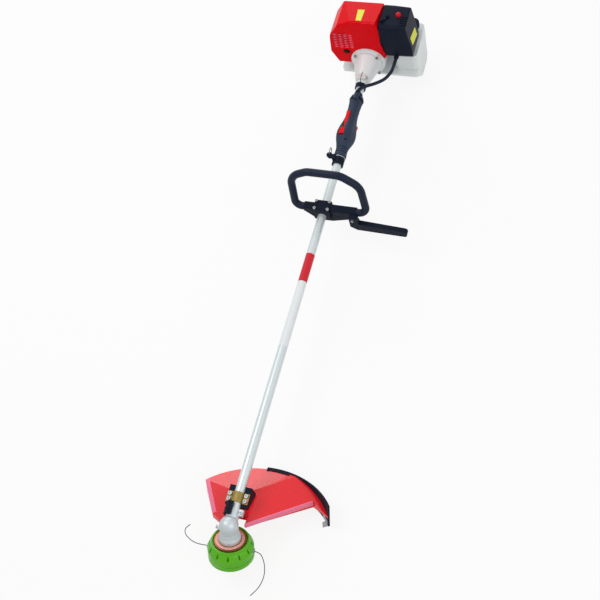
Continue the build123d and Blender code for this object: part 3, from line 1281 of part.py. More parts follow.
SPOOL_LOW = COVER_IN + RUN
SPOOL_TOP = PLATE_LOW - TAP_TRAVEL - 0.5
with BuildPart() as line_spool:
    with BuildSketch(HEAD_SIDE):
        Polygon((HUB_R + 6, SPOOL_TOP), (HEAD_CAVITY_R - 2, SPOOL_TOP), (HEAD_CAVITY_R - 2, SPOOL_TOP - 3),
                (HEAD_CAVITY_R - 9, SPOOL_TOP - 3), (HEAD_CAVITY_R - 9, SPOOL_LOW + 3),
                (HEAD_CAVITY_R - 2, SPOOL_LOW + 3), (HEAD_CAVITY_R - 2, SPOOL_LOW), (KNOB_R, SPOOL_LOW),
                (KNOB_R, HEAD_BOTTOM - KNOB_DROP + 5), (KNOB_R - 5, HEAD_BOTTOM - KNOB_DROP),
                (0, HEAD_BOTTOM - KNOB_DROP), (0, STUB_END - TAP_TRAVEL - 3), (HUB_R + 6, STUB_END - TAP_TRAVEL - 3),
                align=None)
    revolve(axis=SPINDLE_AXIS)
write(line_spool, "line_spool")

LINE_ROUTE_A = [(46.5, 6.5, LINE_LEVEL), (75.3, 10.6, LINE_LEVEL), (96, -15, -72), (108, -38, -68.5),
                (118, -66, -65), (122, -98, -60.5), (119, -126, -57.5), (111, -147, -55)]
LINE_ROUTE_B = [(-46.5, -6.5, LINE_LEVEL), (-75.3, -10.6, LINE_LEVEL), (-97, -11, -73.5), (-115, -5, -71.5),
                (-130, 4, -69), (-138, 16, -67), (-138, 28, -65.5), (-131, 38, -64.5)]


def on_head(points):
    """Points given as (x, back, up) in the trimmer head's frame."""
    return [tuple(HEAD.from_local_coords(Vector(*point))) for point in points]


with BuildPart() as cutting_line_a:
    add(sweep_round(on_head(LINE_ROUTE_A), LINE_D / 2))
write(cutting_line_a, "cutting_line_a")

with BuildPart() as cutting_line_b:
    add(sweep_round(on_head(LINE_ROUTE_B), LINE_D / 2))
write(cutting_line_b, "cutting_line_b")

# Debris guard: a moulded shell with three panels, hollow below, and a flat seat for its saddle
SEAT_H = 14.0
SEAT_Q = (58.0, 122.0)
SEAT_X = 32.0
RIM_LEFT_TURN = radians(144.4)
RIM_RIGHT_TURN = radians(34)
LEFT_PANEL = [(-123, 137, GUARD_TOP), (-28, 20, -10), (-41, 121, GUARD_TOP)]
RIGHT_PANEL = [(4, 123, GUARD_TOP), (30, 30, -10), (96, 206, GUARD_TOP)]
RIM_DEPTH = -34.0
RIM_SLOPE = 0.08


def panel_plane(corners):
    """Plane through three head points, facing up."""
    low, front, back = (Vector(*point) for point in on_head(corners))
    normal = (front - low).cross(back - low)
    return Plane(origin=low, x_dir=back - low, z_dir=normal)


def rim_point(turn, reach):
    """Point of the guard's rim circle at an angle, in the head's (x, back) plane."""
    return RIM_X + reach * cos(turn), RIM_Q + reach * sin(turn)


def guard_corners(inset):
    """Corners of the guard's plan from rim to rim, moved in by inset."""
    corners = [rim_point(RIM_LEFT_TURN, RIM_R), (-63, 41), (-28, 20), (-28, SEAT_Q[0] - 1), (30, SEAT_Q[0] - 1),
               (30, 30), (175, 161), rim_point(RIM_RIGHT_TURN, RIM_R)]
    runs = [Vector(-sin(RIM_LEFT_TURN), cos(RIM_LEFT_TURN))]
    runs += [(Vector(*after) - Vector(*before)).normalized() for before, after in zip(corners, corners[1:])]
    runs.append(Vector(-sin(RIM_RIGHT_TURN), cos(RIM_RIGHT_TURN)))
    moved = []
    for corner, arrive, leave in zip(corners, runs, runs[1:]):
        inward = Vector(-arrive.Y - leave.Y, arrive.X + leave.X) / (1 + arrive.dot(leave))
        moved.append((corner[0] + inset * inward.X, corner[1] + inset * inward.Y))
    return moved


def guard_form(inset):
    """Guard solid with every outer wall moved in by inset."""
    corners = guard_corners(inset)
    with BuildPart() as form:
        with BuildSketch(HEAD.offset(-120)):
            with BuildLine():
                Polyline(*corners)
                ThreePointArc(corners[-1], rim_point(pi / 2, RIM_R - inset), corners[0])
            make_face()
        extrude(amount=120 + GUARD_TOP - inset)
        for panel in (LEFT_PANEL, RIGHT_PANEL):
            with BuildSketch(panel_plane(panel).offset(-inset)):
                Rectangle(1200, 1200)
            extrude(amount=120, mode=Mode.SUBTRACT)
    return form.part


BOLT_X = 22.5
BOLT_SPAN = 14.0
FLOOR = Plane(origin=(0, HEAD.origin.Y, 0), z_dir=(0, 0, -1))
FLOOR_GAP = 0.8
with BuildPart() as debris_guard:
    add(guard_form(0))
    with BuildSketch(HEAD.offset(-10)):
        with Locations((0, (SEAT_Q[0] + SEAT_Q[1]) / 2)):
            Rectangle(2 * SEAT_X, SEAT_Q[1] - SEAT_Q[0])
    extrude(amount=SEAT_H + 10)
    add(guard_form(GUARD_WALL), mode=Mode.SUBTRACT)
    with BuildSketch(HEAD.offset(-8)):
        with Locations((0, (SEAT_Q[0] + SEAT_Q[1]) / 2)):
            Rectangle(2 * SEAT_X, SEAT_Q[1] - SEAT_Q[0])
    extrude(amount=SEAT_H + 8)
    bottom = Plane(origin=HEAD.from_local_coords(Vector(0, 200, RIM_DEPTH)), x_dir=(1, 0, 0),
                   z_dir=HEAD.z_dir * -1 - HEAD.y_dir * RIM_SLOPE)
    for below in (bottom, FLOOR):
        with BuildSketch(below):
            Rectangle(1600, 1600)
        extrude(amount=300, mode=Mode.SUBTRACT)
    with BuildSketch(above(0)):
        with Locations((0, STRAP_STATION)):
            with GridLocations(2 * BOLT_X, BOLT_SPAN, 2, 2):
                Circle(BOLT_R + FIT)
    extrude(amount=-70, mode=Mode.SUBTRACT)
write(debris_guard, "debris_guard")

# Skirt hooked on the rim's right half, and the line cutter at its end
SKIRT_BACK = radians(97)
SKIRT_LIP = radians(79)
SKIRT_IN = RIM_R + FIT


def rim_band(inner, outer, low, high, start, end):
    """Add a band that follows the guard's rim between two angles."""
    middle = (start + end) / 2
    with BuildSketch(HEAD.offset(low)) as section:
        with BuildLine():
            Line(rim_point(start, inner), rim_point(start, outer))
            ThreePointArc(rim_point(start, outer), rim_point(middle, outer), rim_point(end, outer))
            Line(rim_point(end, outer), rim_point(end, inner))
            ThreePointArc(rim_point(end, inner), rim_point(middle, inner), rim_point(start, inner))
        make_face()
    extrude(section.sketch, amount=high - low)


with BuildPart() as guard_skirt:
    rim_band(SKIRT_IN, SKIRT_IN + SKIRT_T, -SKIRT_DROP, SEAT_H, SKIRT_BACK, RIM_RIGHT_TURN)
    rim_band(SKIRT_IN - 7, SKIRT_IN + SKIRT_T, GUARD_TOP + FIT, SEAT_H, SKIRT_BACK, SKIRT_LIP)
    with BuildSketch(FLOOR.offset(-FLOOR_GAP)):
        Rectangle(1600, 1600)
    extrude(amount=300, mode=Mode.SUBTRACT)
write(guard_skirt, "guard_skirt")

BLADE_TURN = RIM_RIGHT_TURN + radians(1)
BLADE_T = 1.6
with BuildPart() as line_cutter:
    rim_band(SKIRT_IN - BLADE_T - FIT, SKIRT_IN - FIT, -SKIRT_DROP + 2, -40, BLADE_TURN, BLADE_TURN + radians(8))
    rim_band(SKIRT_IN - 14, SKIRT_IN - FIT, -SKIRT_DROP - 3, -42, BLADE_TURN, BLADE_TURN + radians(0.45))
write(line_cutter, "line_cutter")

# Saddle under the tube with a ribbed cheek on the case's neck, the strap over it and their bolts
SADDLE_FRONT = 58.0
SADDLE_BACK = 112.0
SADDLE_X = 30.0
CHEEK_R = 24.0
SEAT_RISE = SEAT_H * sin(radians(SPINDLE_ANGLE))
SEAT_FALL = 1 / tan(radians(SPINDLE_ANGLE))


def seat_z(reach):
    """Height of the guard's seat at a distance behind the gear's centre."""
    return SEAT_RISE - (reach - SEAT_H * cos(radians(SPINDLE_ANGLE))) * SEAT_FALL


with BuildPart() as guard_saddle:
    with BuildSketch(beside(-SADDLE_X)):
        Polygon((GEAR_STATION + SADDLE_FRONT, 0), (GEAR_STATION + SADDLE_BACK, 0),
                (GEAR_STATION + SADDLE_BACK, seat_z(SADDLE_BACK)),
                (GEAR_STATION + SADDLE_FRONT, seat_z(SADDLE_FRONT)), align=None)
    extrude(amount=2 * SADDLE_X)
    with BuildSketch(across(GEAR_STATION + SADDLE_BACK)):
        Circle(TUBE_R + FIT)
    extrude(amount=SADDLE_BACK - SADDLE_FRONT, mode=Mode.SUBTRACT)
    with BuildSketch(across(GEAR_STATION + 65)):
        Circle(CHEEK_R)
        Circle(CASE_NECK_R + GAP, mode=Mode.SUBTRACT)
        with Locations((40, 0), (0, -54)):
            Rectangle(80, 80, mode=Mode.SUBTRACT)
    extrude(amount=35)
    for rib in range(5):
        with BuildSketch(across(GEAR_STATION + 62 - 7 * rib)):
            Circle(CHEEK_R + 1.6)
            Circle(CHEEK_R - 1, mode=Mode.SUBTRACT)
            with Locations((40, 0), (0, -52)):
                Rectangle(80, 80, mode=Mode.SUBTRACT)
        extrude(amount=3)
    with BuildSketch(above(0)):
        with Locations((0, STRAP_STATION)):
            with GridLocations(2 * BOLT_X, BOLT_SPAN, 2, 2):
                Circle(BOLT_R + FIT)
    extrude(amount=-60, mode=Mode.SUBTRACT)
write(guard_saddle, "guard_saddle")

with BuildPart() as guard_strap:
    with BuildSketch(across(STRAP_STATION + STRAP_LENGTH / 2)):
        Circle(TUBE_R + STRAP_T)
        with Locations((0, STRAP_T / 2)):
            Rectangle(2 * SADDLE_X, STRAP_T)
        Circle(TUBE_R + FIT, mode=Mode.SUBTRACT)
        with Locations((0, -20)):
            Rectangle(100, 40, mode=Mode.SUBTRACT)
    extrude(amount=STRAP_LENGTH)
    with BuildSketch(above(STRAP_T)):
        with Locations((0, STRAP_STATION)):
            with GridLocations(2 * BOLT_X, BOLT_SPAN, 2, 2):
                Circle(BOLT_R + FIT)
    extrude(amount=-STRAP_T, mode=Mode.SUBTRACT)
write(guard_strap, "guard_strap")


def fastener(seat, shank_r, shank, head_r, head):
    """Add a socket screw whose head sits on the plane seat and whose shank runs behind it."""
    with BuildSketch(seat) as shank_section:
        Circle(shank_r)
    extrude(shank_section.sketch, amount=-shank)
    with BuildSketch(seat) as head_section:
        Circle(head_r)
    extrude(head_section.sketch, amount=head)
    with BuildSketch(seat.offset(head / 2)) as socket:
        RegularPolygon(head_r / 2, 6)
    extrude(socket.sketch, amount=head, mode=Mode.SUBTRACT)


with BuildPart() as guard_bolts:
    for side in (-BOLT_X, BOLT_X):
        for step in (-BOLT_SPAN / 2, BOLT_SPAN / 2):
            seat = Plane(origin=(side, MOUTH_Y + STRAP_STATION + step, SHAFT_HEIGHT + STRAP_T))
            fastener(seat, BOLT_R, 44, BOLT_R + 2, 5)
write(guard_bolts, "guard_bolts")

# Screws of the flange, the housing's mouth, the loop clamp, the barrier and the gear case
with BuildPart() as clamp_screws:
    for turn in range(45, 405, 90):
        spot = (SCREW_CIRCLE_R * cos(radians(turn)), SCREW_CIRCLE_R * sin(radians(turn)))
        seat = Plane(origin=across(HOUSING_LENGTH - FLANGE_THICK).from_local_coords(spot), z_dir=(0, -1, 0))
        fastener(seat, SCREW_R, FLANGE_THICK + 14, SCREW_HEAD_R, SCREW_HEAD_H)
    for side in (-CLAMP_SCREW_X, CLAMP_SCREW_X):
        for step in (-CLAMP_SCREW_SPAN / 2, CLAMP_SCREW_SPAN / 2):
            seat = Plane(origin=(side, MOUTH_Y + LOOP_STATION + step, SHAFT_HEIGHT + BLOCK_TOP))
            fastener(seat, SCREW_R, BLOCK_TOP + 14, SCREW_HEAD_R, SCREW_HEAD_H)
    mouth = Plane(origin=(15, MOUTH_Y + 16, SHAFT_HEIGHT + HOUSING_MOUTH_R + 2.6), z_dir=(1, 0, 0))
    fastener(mouth, SCREW_R, 28, SCREW_HEAD_R, SCREW_HEAD_H)
    barrier = Plane(origin=across(BARRIER_STATION - BARRIER_T).from_local_coords(BARRIER_BOLT), z_dir=(0, -1, 0))
    fastener(barrier, SCREW_R, BARRIER_T + BAR_T - 6, SCREW_HEAD_R, SCREW_HEAD_H)
    lug = Plane(origin=(LUG_X + 1, HEAD.origin.Y + LUG_REACH, SHAFT_HEIGHT + 7))
    fastener(lug, LUG_SCREW_R, 14, SCREW_HEAD_R - 0.5, SCREW_HEAD_H - 1)
    plug = Plane(origin=(PLUG_X, HEAD.origin.Y + PLUG_Y, SHAFT_HEIGHT + PLUG_Z), z_dir=(-1, 0, 0))
    fastener(plug, SCREW_R, 8, SCREW_HEAD_R, SCREW_HEAD_H)
write(clamp_screws, "clamp_screws")
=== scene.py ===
"""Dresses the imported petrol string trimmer.

It gives the CAD nodes their finishes and adds small fittings, cutting lines, light and camera.
"""
import logging
import math
from dataclasses import dataclass, field
from enum import Enum
from functools import cache
from typing import Iterable

import bpy
import numpy as np
from mathutils import Matrix, Vector

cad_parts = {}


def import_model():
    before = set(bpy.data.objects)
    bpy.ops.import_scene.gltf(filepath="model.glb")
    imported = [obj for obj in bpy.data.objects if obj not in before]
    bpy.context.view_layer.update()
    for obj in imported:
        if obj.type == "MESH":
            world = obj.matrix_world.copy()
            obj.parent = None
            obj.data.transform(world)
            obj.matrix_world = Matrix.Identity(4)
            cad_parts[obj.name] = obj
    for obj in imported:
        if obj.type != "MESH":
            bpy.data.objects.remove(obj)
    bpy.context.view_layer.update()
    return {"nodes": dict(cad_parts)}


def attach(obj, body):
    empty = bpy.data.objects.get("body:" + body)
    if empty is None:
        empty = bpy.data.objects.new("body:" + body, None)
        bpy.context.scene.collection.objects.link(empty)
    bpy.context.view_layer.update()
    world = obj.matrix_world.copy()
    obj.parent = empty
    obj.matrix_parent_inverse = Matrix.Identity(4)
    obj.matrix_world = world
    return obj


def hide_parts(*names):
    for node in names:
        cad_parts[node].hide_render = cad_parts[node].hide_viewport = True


LOG = logging.getLogger("trimmer")

Colour = tuple[float, float, float]
Point = tuple[float, float, float]
Points = tuple[Point, ...]
Pair = tuple[float, float]
Pairs = tuple[Pair, ...]
Route = list[Point]
Input = bpy.types.NodeSocket | float | tuple[float, ...]

MM = 0.001

# The tool in the row frame, in millimetres. The shaft runs along y at SHAFT_HEIGHT. Stations count
# along it from the clutch housing's mouth at MOUTH_Y, falling towards the trimmer head. The spindle
# crosses it at GEAR_STATION and stands at SPINDLE_ANGLE to it. TUBE_R and GRIP_R are the radii of
# the drive tube and of the handle where rings sit on them.
SHAFT_HEIGHT = 140.0
MOUTH_Y = -212.0
GEAR_STATION = -1446.0
SPINDLE_ANGLE = math.radians(60)
TUBE_R = 13.0
GRIP_R = 18.5


def feed(tree: bpy.types.NodeTree, node: bpy.types.Node, inputs: dict[str | int, Input]) -> None:
    """Feed a node's inputs.

    Args:
        tree: Node tree that holds the node.
        node: Node to feed.
        inputs: By name or index, a socket to link or a value to set.
    """
    for key, value in inputs.items():
        if isinstance(value, bpy.types.NodeSocket):
            tree.links.new(value, node.inputs[key])
        else:
            node.inputs[key].default_value = value


def add_node(tree: bpy.types.NodeTree, kind: str, inputs: dict[str | int, Input],
             **options: str | int) -> bpy.types.Node:
    """Add a shader node, set its options and feed its inputs.

    Args:
        tree: Node tree that gets the node.
        kind: Type of the node.
        inputs: By name or index, a socket to link or a value to set.
        **options: Options of the node by name.

    Returns:
        The node.
    """
    node = tree.nodes.new(kind)
    for name, value in options.items():
        setattr(node, name, value)
    feed(tree, node, inputs)
    return node


class Grain(Enum):
    """Surface structure that a finish shows close up."""

    POLISHED = "polished moulding with a faint ripple"
    MOULDED = "fine spark-eroded grain of moulded plastic"
    CAST = "sand-cast pits and swells"
    DRAWN = "fine lines drawn along the tube"
    TURNED = "fine lines round the turned piece"
    RUBBER = "soft matt speckle"
    FOAM = "open cells"


# A noise is the size of its features in millimetres and its octaves of finer noise.
CLOUD = (45.0, 3.0)
SPECK = (9.0, 5.0)
PATCH = (14.0, 4.0)
# Spans of the noises that are read, and the least and greatest share of the lightened edge colour
# in a patch.
SPECK_SPAN = (0.3, 0.7)
PATCH_SPAN = (0.42, 0.62)
PATCH_SHARES = (0.15, 1.0)
# The lightened edges, rubbed wear and in part a painted edge highlight, show where the true normal
# turns away from one rounded over EDGE_MM, and EDGE_SPAN is the span of their dot product over
# which they come in.
EDGE_MM = 0.7
EDGE_SAMPLES = 3
EDGE_SPAN = (0.995, 0.86)
# Octaves of the noisy grains, and how far the grains of fine lines are drawn out.
OCTAVES = {Grain.POLISHED: 0.0, Grain.MOULDED: 2.0, Grain.RUBBER: 4.0, Grain.DRAWN: 2.0,
           Grain.TURNED: 2.0}
STRETCH = {Grain.DRAWN: (1.0, 0.02, 1.0), Grain.TURNED: (0.05, 1.0, 1.0)}
# Depth of a grain as a share of its size, roughness of every clear coat, and radius of scattered
# light in red, green and blue.
GRAIN_DEPTH = 0.15
COAT_ROUGH = 0.08
SCATTER_RADIUS = (0.02, 0.02, 0.02)
# A Mix node names the sockets of all its types alike, so its colour sockets go by index.
MIX_FIRST, MIX_SECOND, MIX_RESULT = 6, 7, 2


@dataclass(frozen=True)
class Finish:
    """A named surface finish with its colours, gloss, grain and lightened edges, which are rubbed
    wear and in part a painted edge highlight.

    Attributes:
        name: Name of its material.
        colour: Main colour, linear red, green and blue.
        shade: Colour of the faint clouds in it.
        rough: Roughness at the low and the high end of its specks.
        grain: Structure close up.
        slot: Slot of the record that the finish stands for; not used here.
        metallic: Share of metal.
        grain_mm: Size of the grain, in millimetres.
        relief: Strength of the grain's bump.
        coat: Share of clear coat.
        specular: Level of the plain reflection.
        wear_and_highlight: Colour of lightened edges, if they are lightened: rubbed wear, in part a
            painted edge highlight.
        wear_and_highlight_share: Greatest share of that colour.
        subsurface: Share of light scattered below the surface.
    """

    name: str
    colour: Colour
    shade: Colour
    rough: Pair
    grain: Grain
    slot: str
    metallic: float = 0.0
    grain_mm: float = 0.8
    relief: float = 0.25
    coat: float = 0.0
    specular: float = 0.5
    wear_and_highlight: Colour | None = None
    wear_and_highlight_share: float = 0.5
    subsurface: float = 0.0

    @cache
    def material(self) -> bpy.types.Material:
        """Build this finish as a node material, once.

        Returns:
            The material, ready for a material slot.
        """
        made = bpy.data.materials.new(self.name)
        made.use_nodes = True
        tree = made.node_tree
        place = tree.nodes.new("ShaderNodeTexCoord").outputs["Object"]
        tint = self._mix(tree, self._noise(tree, place, *CLOUD), self.colour, self.shade)
        if self.wear_and_highlight is not None:
            tint = self._lighten_edges(tree, place, tint)
        specks = self._noise(tree, place, *SPECK)
        bump = add_node(tree, "ShaderNodeBump", {
            "Strength": self.relief, "Distance": GRAIN_DEPTH * self.grain_mm * MM,
            "Height": self._structure(tree, place)})
        feed(tree, tree.nodes["Principled BSDF"], {
            "Base Color": tint, "Metallic": self.metallic,
            "Roughness": self._span(tree, specks, SPECK_SPAN, self.rough),
            "Specular IOR Level": self.specular, "Coat Weight": self.coat,
            "Coat Roughness": COAT_ROUGH, "Subsurface Weight": self.subsurface,
            "Subsurface Radius": SCATTER_RADIUS, "Normal": bump.outputs["Normal"]})
        return made

    @staticmethod
    def _noise(tree: bpy.types.NodeTree, place: bpy.types.NodeSocket, size_mm: float,
               detail: float) -> bpy.types.NodeSocket:
        """Noise with features of about size_mm.

        Args:
            tree: Node tree of the material.
            place: Coordinates that the noise reads.
            size_mm: Size of a feature, in millimetres.
            detail: Octaves of finer noise.

        Returns:
            The noise's factor, from 0 to 1.
        """
        noise = add_node(tree, "ShaderNodeTexNoise", {
            "Scale": 1.0 / (size_mm * MM), "Detail": detail, "Vector": place})
        return noise.outputs["Fac"]

    @staticmethod
    def _span(tree: bpy.types.NodeTree, value: bpy.types.NodeSocket, read: Pair,
              given: Pair) -> bpy.types.NodeSocket:
        """Map a value from one span to another, clamped.

        Args:
            tree: Node tree of the material.
            value: Socket to map.
            read: Start and end of the span read.
            given: Results at that start and end.

        Returns:
            The mapped value.
        """
        span = add_node(tree, "ShaderNodeMapRange", {
            "From Min": read[0], "From Max": read[1], "To Min": given[0], "To Max": given[1],
            "Value": value})
        return span.outputs["Result"]

    @staticmethod
    def _mix(tree: bpy.types.NodeTree, share: bpy.types.NodeSocket,
             first: Colour | bpy.types.NodeSocket, second: Colour) -> bpy.types.NodeSocket:
        """Blend two colours by a share.

        Args:
            tree: Node tree of the material.
            share: Socket that says how much of the second colour shows.
            first: Colour, or a socket that gives one.
            second: Other colour.

        Returns:
            The blended colour.
        """
        under = first if isinstance(first, bpy.types.NodeSocket) else (*first, 1.0)
        mix = add_node(tree, "ShaderNodeMix", {
            "Factor": share, MIX_FIRST: under, MIX_SECOND: (*second, 1.0)}, data_type="RGBA")
        return mix.outputs[MIX_RESULT]

    def _lighten_edges(self, tree: bpy.types.NodeTree, place: bpy.types.NodeSocket,
              tint: bpy.types.NodeSocket) -> bpy.types.NodeSocket:
        """Lighten the colour along sharp edges, in patches: rubbed wear, in part a painted edge
        highlight.

        The lightened share rises as the dot product of the true normal with a rounded one falls
        below one, which it does only near an edge, times a patchy noise.

        Args:
            tree: Node tree of the material.
            place: Coordinates that the patches read.
            tint: Colour of the unworn surface.

        Returns:
            The colour with its lightened edges.
        """
        rounded = add_node(tree, "ShaderNodeBevel", {"Radius": EDGE_MM * MM}, samples=EDGE_SAMPLES)
        surface = tree.nodes.new("ShaderNodeNewGeometry")
        dot = add_node(tree, "ShaderNodeVectorMath", {
            0: rounded.outputs["Normal"], 1: surface.outputs["Normal"]}, operation="DOT_PRODUCT")
        edge = self._span(tree, dot.outputs["Value"], EDGE_SPAN, (0.0, self.wear_and_highlight_share))
        patch = self._span(tree, self._noise(tree, place, *PATCH), PATCH_SPAN, PATCH_SHARES)
        lightened = add_node(tree, "ShaderNodeMath", {0: edge, 1: patch}, operation="MULTIPLY")
        return self._mix(tree, lightened.outputs[0], tint, self.wear_and_highlight)

    def _structure(self, tree: bpy.types.NodeTree,
                   place: bpy.types.NodeSocket) -> bpy.types.NodeSocket:
        """Height of this finish's grain.

        Args:
            tree: Node tree of the material.
            place: Coordinates that the grain reads.

        Returns:
            The height, from 0 to 1.
        """
        if self.grain in (Grain.CAST, Grain.FOAM):
            pits = add_node(tree, "ShaderNodeTexVoronoi", {
                "Scale": 1.0 / (self.grain_mm * MM), "Vector": place}, feature="SMOOTH_F1")
            return pits.outputs["Distance"]
        if self.grain in STRETCH:
            drawn = add_node(tree, "ShaderNodeMapping", {
                "Scale": STRETCH[self.grain], "Vector": place})
            place = drawn.outputs["Vector"]
        return self._noise(tree, place, self.grain_mm, OCTAVES[self.grain])


# Red moulding whose pale pink edges are partly rubbed wear and partly a painted highlight of light
# caught on the hood's edges.
RED = Finish(
    "red_moulding", (0.8, 0.003, 0.008), (0.7, 0.002, 0.008), (0.24, 0.36), Grain.POLISHED,
    "red_plastic", grain_mm=6.0, relief=0.05, specular=0.04, wear_and_highlight=(0.95, 0.3, 0.36),
    wear_and_highlight_share=0.55)
# Guard red whose pale pink edges are partly rubbed wear and partly a painted highlight of light
# caught on the guard's edges.
GUARD_RED = Finish(
    "guard_red", (0.88, 0.004, 0.012), (0.8, 0.004, 0.012), (0.2, 0.3), Grain.MOULDED,
    "red_plastic", grain_mm=1.2, relief=0.08, coat=0.5, specular=0.3, wear_and_highlight=(0.95, 0.22, 0.36),
    wear_and_highlight_share=0.7)
# Pale pink that is painted sheen: light caught on the guard's edges and the hood's slot edges,
# painted into the colour of the lips laid there.
PAINTED_SHEEN_RED = Finish(
    "painted_sheen_red", (0.95, 0.24, 0.38), (0.88, 0.16, 0.28), (0.3, 0.42), Grain.MOULDED,
    "red_plastic", grain_mm=1.2, relief=0.12, specular=0.3)
NAVY = Finish(
    "black_moulding", (0.006, 0.009, 0.02), (0.012, 0.017, 0.032), (0.32, 0.48), Grain.MOULDED,
    "black_plastic", grain_mm=0.7, relief=0.3, specular=0.05, wear_and_highlight=(0.08, 0.1, 0.15))
GRIP = Finish(
    "grained_grip", (0.018, 0.03, 0.056), (0.03, 0.047, 0.082), (0.42, 0.6), Grain.MOULDED,
    "handle_plastic", grain_mm=1.1, relief=0.5, specular=0.2, wear_and_highlight=(0.12, 0.15, 0.2),
    wear_and_highlight_share=0.45)
RUBBER = Finish(
    "soft_black_rubber", (0.008, 0.013, 0.032), (0.014, 0.021, 0.044), (0.3, 0.46), Grain.RUBBER,
    "black_rubber", grain_mm=1.6, relief=0.12, specular=0.14)
SILVER = Finish(
    "drawn_tube", (0.68, 0.74, 0.75), (0.62, 0.68, 0.69), (0.3, 0.38), Grain.DRAWN,
    "tube_paint", metallic=0.45, grain_mm=2.5, relief=0.02)
CAST = Finish(
    "cast_housing", (0.8, 0.82, 0.82), (0.73, 0.75, 0.76), (0.4, 0.55), Grain.CAST,
    "cast_silver", metallic=0.2, grain_mm=2.2, wear_and_highlight=(0.9, 0.91, 0.91))
CASE = Finish(
    "cast_gear_case", (0.6, 0.65, 0.68), (0.5, 0.55, 0.58), (0.4, 0.55), Grain.CAST,
    "cast_grey", metallic=0.5, grain_mm=1.8, relief=0.35, wear_and_highlight=(0.86, 0.88, 0.9), wear_and_highlight_share=0.6)
STEEL = Finish(
    "bright_steel", (0.38, 0.39, 0.41), (0.3, 0.31, 0.33), (0.42, 0.56), Grain.TURNED,
    "steel", metallic=1.0, grain_mm=0.6, relief=0.2)
IRON = Finish(
    "sintered_iron", (0.2, 0.19, 0.18), (0.13, 0.12, 0.11), (0.5, 0.7), Grain.CAST,
    "iron", metallic=0.9, grain_mm=1.0, relief=0.4)
TINTED = Finish(
    "heat_tinted_steel", (0.12, 0.09, 0.075), (0.06, 0.045, 0.04), (0.5, 0.7), Grain.CAST,
    "muffler_steel", metallic=0.5, grain_mm=2.5, specular=0.3)
CERAMIC = Finish(
    "glazed_ceramic", (0.82, 0.82, 0.79), (0.76, 0.76, 0.73), (0.1, 0.18), Grain.POLISHED,
    "ceramic", grain_mm=5.0, relief=0.03, coat=0.6)
FOAM = Finish(
    "filter_foam", (0.2, 0.18, 0.13), (0.12, 0.11, 0.08), (0.8, 0.95), Grain.FOAM,
    "foam", grain_mm=1.4, relief=0.9)
BULB = Finish(
    "soft_red_bulb", (0.7, 0.004, 0.01), (0.58, 0.003, 0.008), (0.3, 0.42), Grain.RUBBER,
    "red_rubber", grain_mm=1.2, relief=0.15, subsurface=0.1, specular=0.15)
LEVER = Finish(
    "moulded_red_lever", (0.82, 0.004, 0.012), (0.7, 0.003, 0.01), (0.3, 0.44), Grain.MOULDED,
    "red_lever", specular=0.15, wear_and_highlight=(0.92, 0.25, 0.25))
TANK = Finish(
    "milky_tank", (0.8, 0.84, 0.83), (0.73, 0.78, 0.78), (0.3, 0.44), Grain.MOULDED,
    "tank_plastic", grain_mm=1.4, relief=0.12, subsurface=0.3)
NYLON = Finish(
    "white_nylon", (0.7, 0.69, 0.64), (0.62, 0.61, 0.56), (0.4, 0.55), Grain.MOULDED,
    "bush_plastic", relief=0.2, subsurface=0.2)
COPPER = Finish(
    "copper_plate", (0.46, 0.15, 0.08), (0.36, 0.1, 0.05), (0.3, 0.46), Grain.CAST,
    "copper_zinc", metallic=0.6, grain_mm=1.2, wear_and_highlight=(0.9, 0.58, 0.48), wear_and_highlight_share=0.7)
# Pale pink copper that is a painted reflection: the shiny plate's bright mirror image, painted into
# its colour.
PAINTED_REFLECTION_COPPER = Finish(
    "copper_painted_reflection", (0.84, 0.46, 0.37), (0.74, 0.36, 0.28), (0.3, 0.44), Grain.CAST,
    "copper_zinc", metallic=0.4, grain_mm=1.0, relief=0.2)
GREEN = Finish(
    "green_moulding", (0.13, 0.53, 0.008), (0.08, 0.4, 0.006), (0.22, 0.36), Grain.POLISHED,
    "green_plastic", grain_mm=4.0, relief=0.06, coat=0.08, specular=0.2, wear_and_highlight=(0.3, 0.75, 0.1),
    wear_and_highlight_share=0.6)
SPOOL = Finish(
    "spool_nylon", (0.02, 0.021, 0.023), (0.035, 0.036, 0.04), (0.4, 0.56), Grain.MOULDED,
    "spool_plastic", grain_mm=0.9, relief=0.3, wear_and_highlight=(0.12, 0.12, 0.12))
LINE = Finish(
    "violet_line_nylon", (0.15, 0.12, 0.22), (0.11, 0.09, 0.17), (0.3, 0.45), Grain.RUBBER,
    "line_nylon", grain_mm=0.6, relief=0.15, subsurface=0.1)
ZINC = Finish(
    "zinc_strap_plate", (0.36, 0.26, 0.07), (0.22, 0.16, 0.045), (0.42, 0.6), Grain.CAST,
    "yellow_zinc", metallic=0.7, grain_mm=1.5, relief=0.2, wear_and_highlight=(0.8, 0.76, 0.6), wear_and_highlight_share=0.6)
YELLOW = Finish(
    "blank_yellow_label", (0.78, 0.8, 0.02), (0.7, 0.7, 0.015), (0.32, 0.44), Grain.POLISHED,
    "tank_plastic", grain_mm=3.0, relief=0.04, specular=0.3)
RED_LABEL = Finish(
    "blank_red_label", (0.7, 0.012, 0.03), (0.62, 0.01, 0.026), (0.28, 0.4), Grain.POLISHED,
    "red_plastic", grain_mm=3.0, relief=0.04, specular=0.35)
PALE_LABEL = Finish(
    "blank_pale_label", (0.84, 0.87, 0.88), (0.79, 0.82, 0.84), (0.3, 0.42), Grain.POLISHED,
    "tank_plastic", grain_mm=3.0, relief=0.04)

